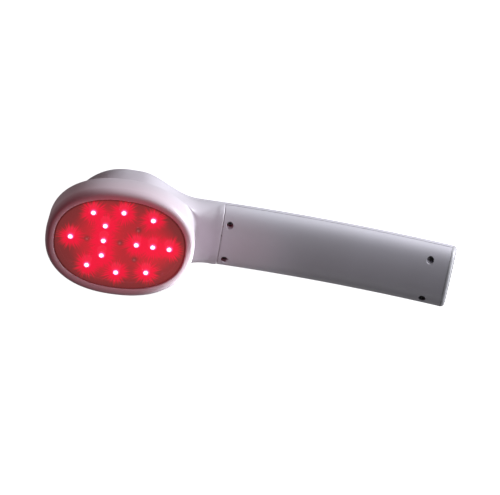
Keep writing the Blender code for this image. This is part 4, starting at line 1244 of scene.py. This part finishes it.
# painted highlight: the unlit diodes get a paler centre in their colour and a small glowing spot at
# the tip, standing in for the glint on their domes
dimPaintedGlint = {
    "colour": (2.2, 0.9, 0.95),
    "body": ((0.0, (0.62, 0.40, 0.42)), (0.30, (0.28, 0.13, 0.15)), (1.0, (0.20, 0.08, 0.10))),
    "glow": ((0.0, grey(1.0)), (0.20, grey(1.0)), (0.36, grey(0.0))),
}


def diodeOutline():
    dome = stack["diode"] - diode["radius"]
    points = [
        (diode["radius"] * sin(turn), dome + diode["radius"] * cos(turn))
        for turn in quarter(diode["steps"])
    ]
    wide, high, edge = diode["radius"] + diode["flange"], diode["flangeHeight"], diode["edge"]
    points += [(diode["radius"], high), (wide - edge, high), (wide, high - edge)]
    return points + [(wide, 0.0), (0.0, 0.0)]


def mapFromAbove(piece, radius):
    # the UV map holds each point's place round the axis, in radii
    while piece.data.uv_layers:
        piece.data.uv_layers.remove(piece.data.uv_layers[0])
    layer = piece.data.uv_layers.new(name="UVMap")
    for loop in piece.data.loops:
        place = piece.data.vertices[loop.vertex_index].co
        layer.data[loop.index].uv = (place.x / radius, place.y / radius)


def epoxyFinish(name):
    made, tree, shader = newFinish(name)
    uv = add(tree, "ShaderNodeUVMap", uv_map="UVMap")
    grain = noise(tree, objectPlace(tree), epoxy["glossScale"])
    wire(tree, shader, {
        "Roughness": between(tree, grain, *epoxy["gloss"]),
        "IOR": epoxy["ior"], "Coat Weight": epoxy["coat"],
    })
    return made, tree, shader, vectorMaths(tree, "LENGTH", uv.outputs["UV"])


def litEpoxy():
    made, tree, shader, reach = epoxyFinish("litEpoxy")
    wire(tree, shader, {
        "Base Color": (*lit["body"], 1), "Emission Color": (*lit["colour"], 1),
        "Emission Strength": maths(tree, "MULTIPLY", ramp(tree, reach, lit["glow"]), lit["power"]),
    })
    return made


def unlitEpoxyPaintedGlint():
    made, tree, shader, reach = epoxyFinish("unlitEpoxyPaintedGlint")
    # painted highlight: pale centre and glowing spot at the tip
    wire(tree, shader, {
        "Base Color": ramp(tree, reach, dimPaintedGlint["body"]), "Emission Color": (*dimPaintedGlint["colour"], 1),
        "Emission Strength": ramp(tree, reach, dimPaintedGlint["glow"]),
    })
    return made


def buildDiodes():
    model = spun("diodeModel", diodeOutline(), diode["turns"])
    wide, over = diode["radius"] + diode["flange"], wall["over"]
    high = diode["flangeHeight"] + over
    flat = block("flat", (diode["radius"], -wide, -over), (wide + over, wide, high))
    cut(model, flat)
    mapFromAbove(model, diode["radius"])
    smooth(model, angle=50)
    groups = (
        ("led_red", redShares, "lit", "red_diode"),
        ("led_infrared", infraredShares, "dimPaintedGlint", "infrared_diode"),
    )
    made = []
    for name, shares, look, slot in groups:
        for number, share in enumerate(shares, 1):
            piece = copied(model, f"{name}_{number:02d}_body")
            foot = diodePlace(share) + Vector((0.0, 0.0, -boardDepth + wall["gap"]))
            settle(piece, Matrix.Translation(foot))
            made.append(dress(piece, finish[look], "housing", slot, f"{name}_{number:02d}"))
    bpy.data.objects.remove(model)
    return made


finish["lit"] = litEpoxy()
finish["dimPaintedGlint"] = unlitEpoxyPaintedGlint()
diodes = buildDiodes()
print("diodes", len(diodes))

# screws: a rounded pan head with a cross recess, a threaded shank and a point
screw = {
    "head": 1.7 * mm, "headHeight": 1.3 * mm, "crown": 0.55, "side": 0.38, "edge": 0.08 * mm,
    "shank": 1.0 * mm, "pitch": 0.5 * mm, "root": 0.84 * mm, "ridge": 0.12 * mm,
    "slotWidth": 0.42 * mm, "slotLength": 2.1 * mm, "slotDepth": 0.75 * mm,
    "steps": 8, "turns": 32,
}


def screwOutline(length):
    points = [(0.0, screw["headHeight"])]
    for turn in quarter(screw["steps"], 1):
        across = screw["head"] * (screw["crown"] + (1 - screw["crown"]) * sin(turn))
        height = screw["headHeight"] * (screw["side"] + (1 - screw["side"]) * cos(turn))
        points.append((across, height))
    edge, root, ridge = screw["edge"], screw["root"], screw["ridge"]
    points += [(screw["head"], edge), (screw["head"] - edge, 0.0), (root, 0.0)]
    low = screw["shank"] - length
    for step in range(int(-low / screw["pitch"])):
        height = -screw["pitch"] * (step + 0.5)
        points += [(root, height + ridge), (screw["shank"], height), (root, height - ridge)]
    return points + [(root, low), (0.0, -length)]


def buildScrew(name, length):
    piece = spun(name, screwOutline(length), screw["turns"])
    half, reach = screw["slotWidth"] / 2, screw["slotLength"] / 2
    low, high = screw["headHeight"] - screw["slotDepth"], screw["headHeight"] + wall["over"]
    for ahead, aside in ((reach, half), (half, reach)):
        cut(piece, block("slot", (-ahead, -aside, low), (ahead, aside, high)))
    return smooth(piece, angle=40)


def placeScrews():
    longScrew = buildScrew("longScrewModel", cover["screw"])
    shortScrew = buildScrew("shortScrewModel", posts["screw"])
    seat = cover["seat"] + wall["gap"]
    onCover = [
        along(station, side * offset, seat) for station, offset in screwPairs for side in (1, -1)
    ]
    under = -boardBack - wall["gap"]
    onBoard = [
        Matrix.Translation((*place, under)) @ Matrix.Rotation(pi, 4, "X")
        for place in postPlaces()
    ]
    onDriver = [
        spine(driver["middle"]) @ Matrix.Translation((*place, -driverFront + wall["gap"]))
        for place in driverPosts
    ]
    # each group: its pieces and nodes, its model, the turn from one screw to the next, its places
    groups = (
        ("coverScrew", "cover_screw", longScrew, 0.5, onCover),
        ("boardScrew", "led_board_screw", shortScrew, 0.7, onBoard),
        ("driverScrew", "driver_board_screw", shortScrew, 0.9, onDriver),
    )
    made = []
    for name, node, model, turn, places in groups:
        for number, place in enumerate(places, 1):
            piece = copied(model, f"{name}{number}")
            settle(piece, place @ Matrix.Rotation(turn * number, 4, "Z"))
            made.append(dress(piece, finish["screw"], "housing", "screw", f"{node}_{number}"))
    bpy.data.objects.remove(longScrew)
    bpy.data.objects.remove(shortScrew)
    return made


screws = placeScrews()
print("screws", len(screws))


# power button with a hollowed face, and the charging jack with its pin

def buildButton():
    face = handle["halfThickness"] - button["sunk"]
    step = face - innerHeight(flangeRadius) + wall["gap"]
    height = step + button["flangeHeight"]
    points = [(0.0, height), (flangeRadius, height), (flangeRadius, step), (button["radius"], step)]
    for turn in quarter(button["steps"]):
        inset, drop = button["round"] * (1 - cos(turn)), button["round"] * (1 - sin(turn))
        points.append((button["radius"] - inset, drop))
    rim = button["radius"] - button["round"] - button["hollowInset"]
    for share in spread(1.0, 0.0, button["steps"]):
        points.append((rim * share, button["hollow"] * (1 - share * share)))
    piece = spun("buttonCap", points, button["turns"])
    smooth(settle(piece, along(button["station"], 0.0, -face)))
    return dress(piece, finish["button"], "button", "button", "power_button")


def buildJack():
    half, front = jack["half"], -wall["gap"]
    piece = block("jackBody", (-half, -half, front - jack["length"]), (half, half, front))
    modify(piece, "BEVEL", width=jack["edge"], segments=2)
    high = cap["thick"] - wall["gap"]
    low = high - jack["depth"]
    weld(piece, drum("nose", jack["nose"], -jack["length"] / 2, high, sides=fine["nose"]))
    cut(piece, drum("bore", jack["bore"], low, high + wall["over"], sides=fine["nose"]))
    place = spine(plateStart) @ lengthwise
    smooth(settle(piece, place))
    dress(piece, finish["black"], "housing", "black_plastic", "charge_jack")
    tip, foot, radius = high - wall["over"], low + wall["gap"], jack["pin"]
    points = [(0.0, tip)]
    for turn in quarter(jack["tipSteps"]):
        points.append((radius * (0.5 + 0.5 * sin(turn)), tip - radius * (1 - cos(turn))))
    pin = spun("jackPin", points + [(radius, foot), (0.0, foot)], fine["pin"])
    smooth(settle(pin, place))
    dress(pin, finish["pin"], "housing", "pin", "charge_jack_pin")
    return piece, pin


buildButton()
buildJack()
print("button and jack")

# the pieces that stay as the frame has them
kept = {
    "led_board": "board", "driver_board": "driver", "controller_chip": "black",
    "inductor": "black", "capacitor": "can", "switch_housing": "black",
    "switch_plunger": "button", "battery_cell": "cell", "cell_pad": "foam",
}
for way in ("diodes", "cell", "jack"):
    kept.update({f"lead_{way}_red": "redLead", f"lead_{way}_black": "blackLead"})
for name, choice in kept.items():
    nodes[name].data.materials.clear()
    nodes[name].data.materials.append(finish[choice])


# floor

def buildFloor():
    made, tree, shader = newFinish("paleFloor")
    wire(tree, shader, {"Base Color": (*light["floorColour"], 1), "Roughness": light["floorRough"]})
    glow, bounce = (
        add(tree, "ShaderNodeEmission", Color=(1.0, 1.0, 1.0, 1), Strength=power)
        for power in (light["floorGlow"], light["floorBounce"])
    )
    both = add(tree, "ShaderNodeAddShader")
    fill(tree, both, shader.outputs["BSDF"], glow.outputs["Emission"])
    seen = add(tree, "ShaderNodeLightPath").outputs["Is Camera Ray"]
    above = eitherShader(tree, seen, bounce.outputs["Emission"], both.outputs["Shader"])
    # from below the floor is clear, so that the button in the handle's back can be seen
    below = add(tree, "ShaderNodeNewGeometry").outputs["Backfacing"]
    clear = add(tree, "ShaderNodeBsdfTransparent").outputs["BSDF"]
    whole = eitherShader(tree, below, above, clear)
    feed(tree, tree.nodes["Material Output"].inputs["Surface"], whole)
    nothingPicked()
    place = (0, 0, -light["floorDrop"])
    bpy.ops.mesh.primitive_plane_add(size=light["floorSize"], location=place)
    floor = bpy.context.object
    floor.name = "floor"
    floor.data.materials.append(made)
    floor.visible_shadow = False
    return floor


buildFloor()
print("floor")
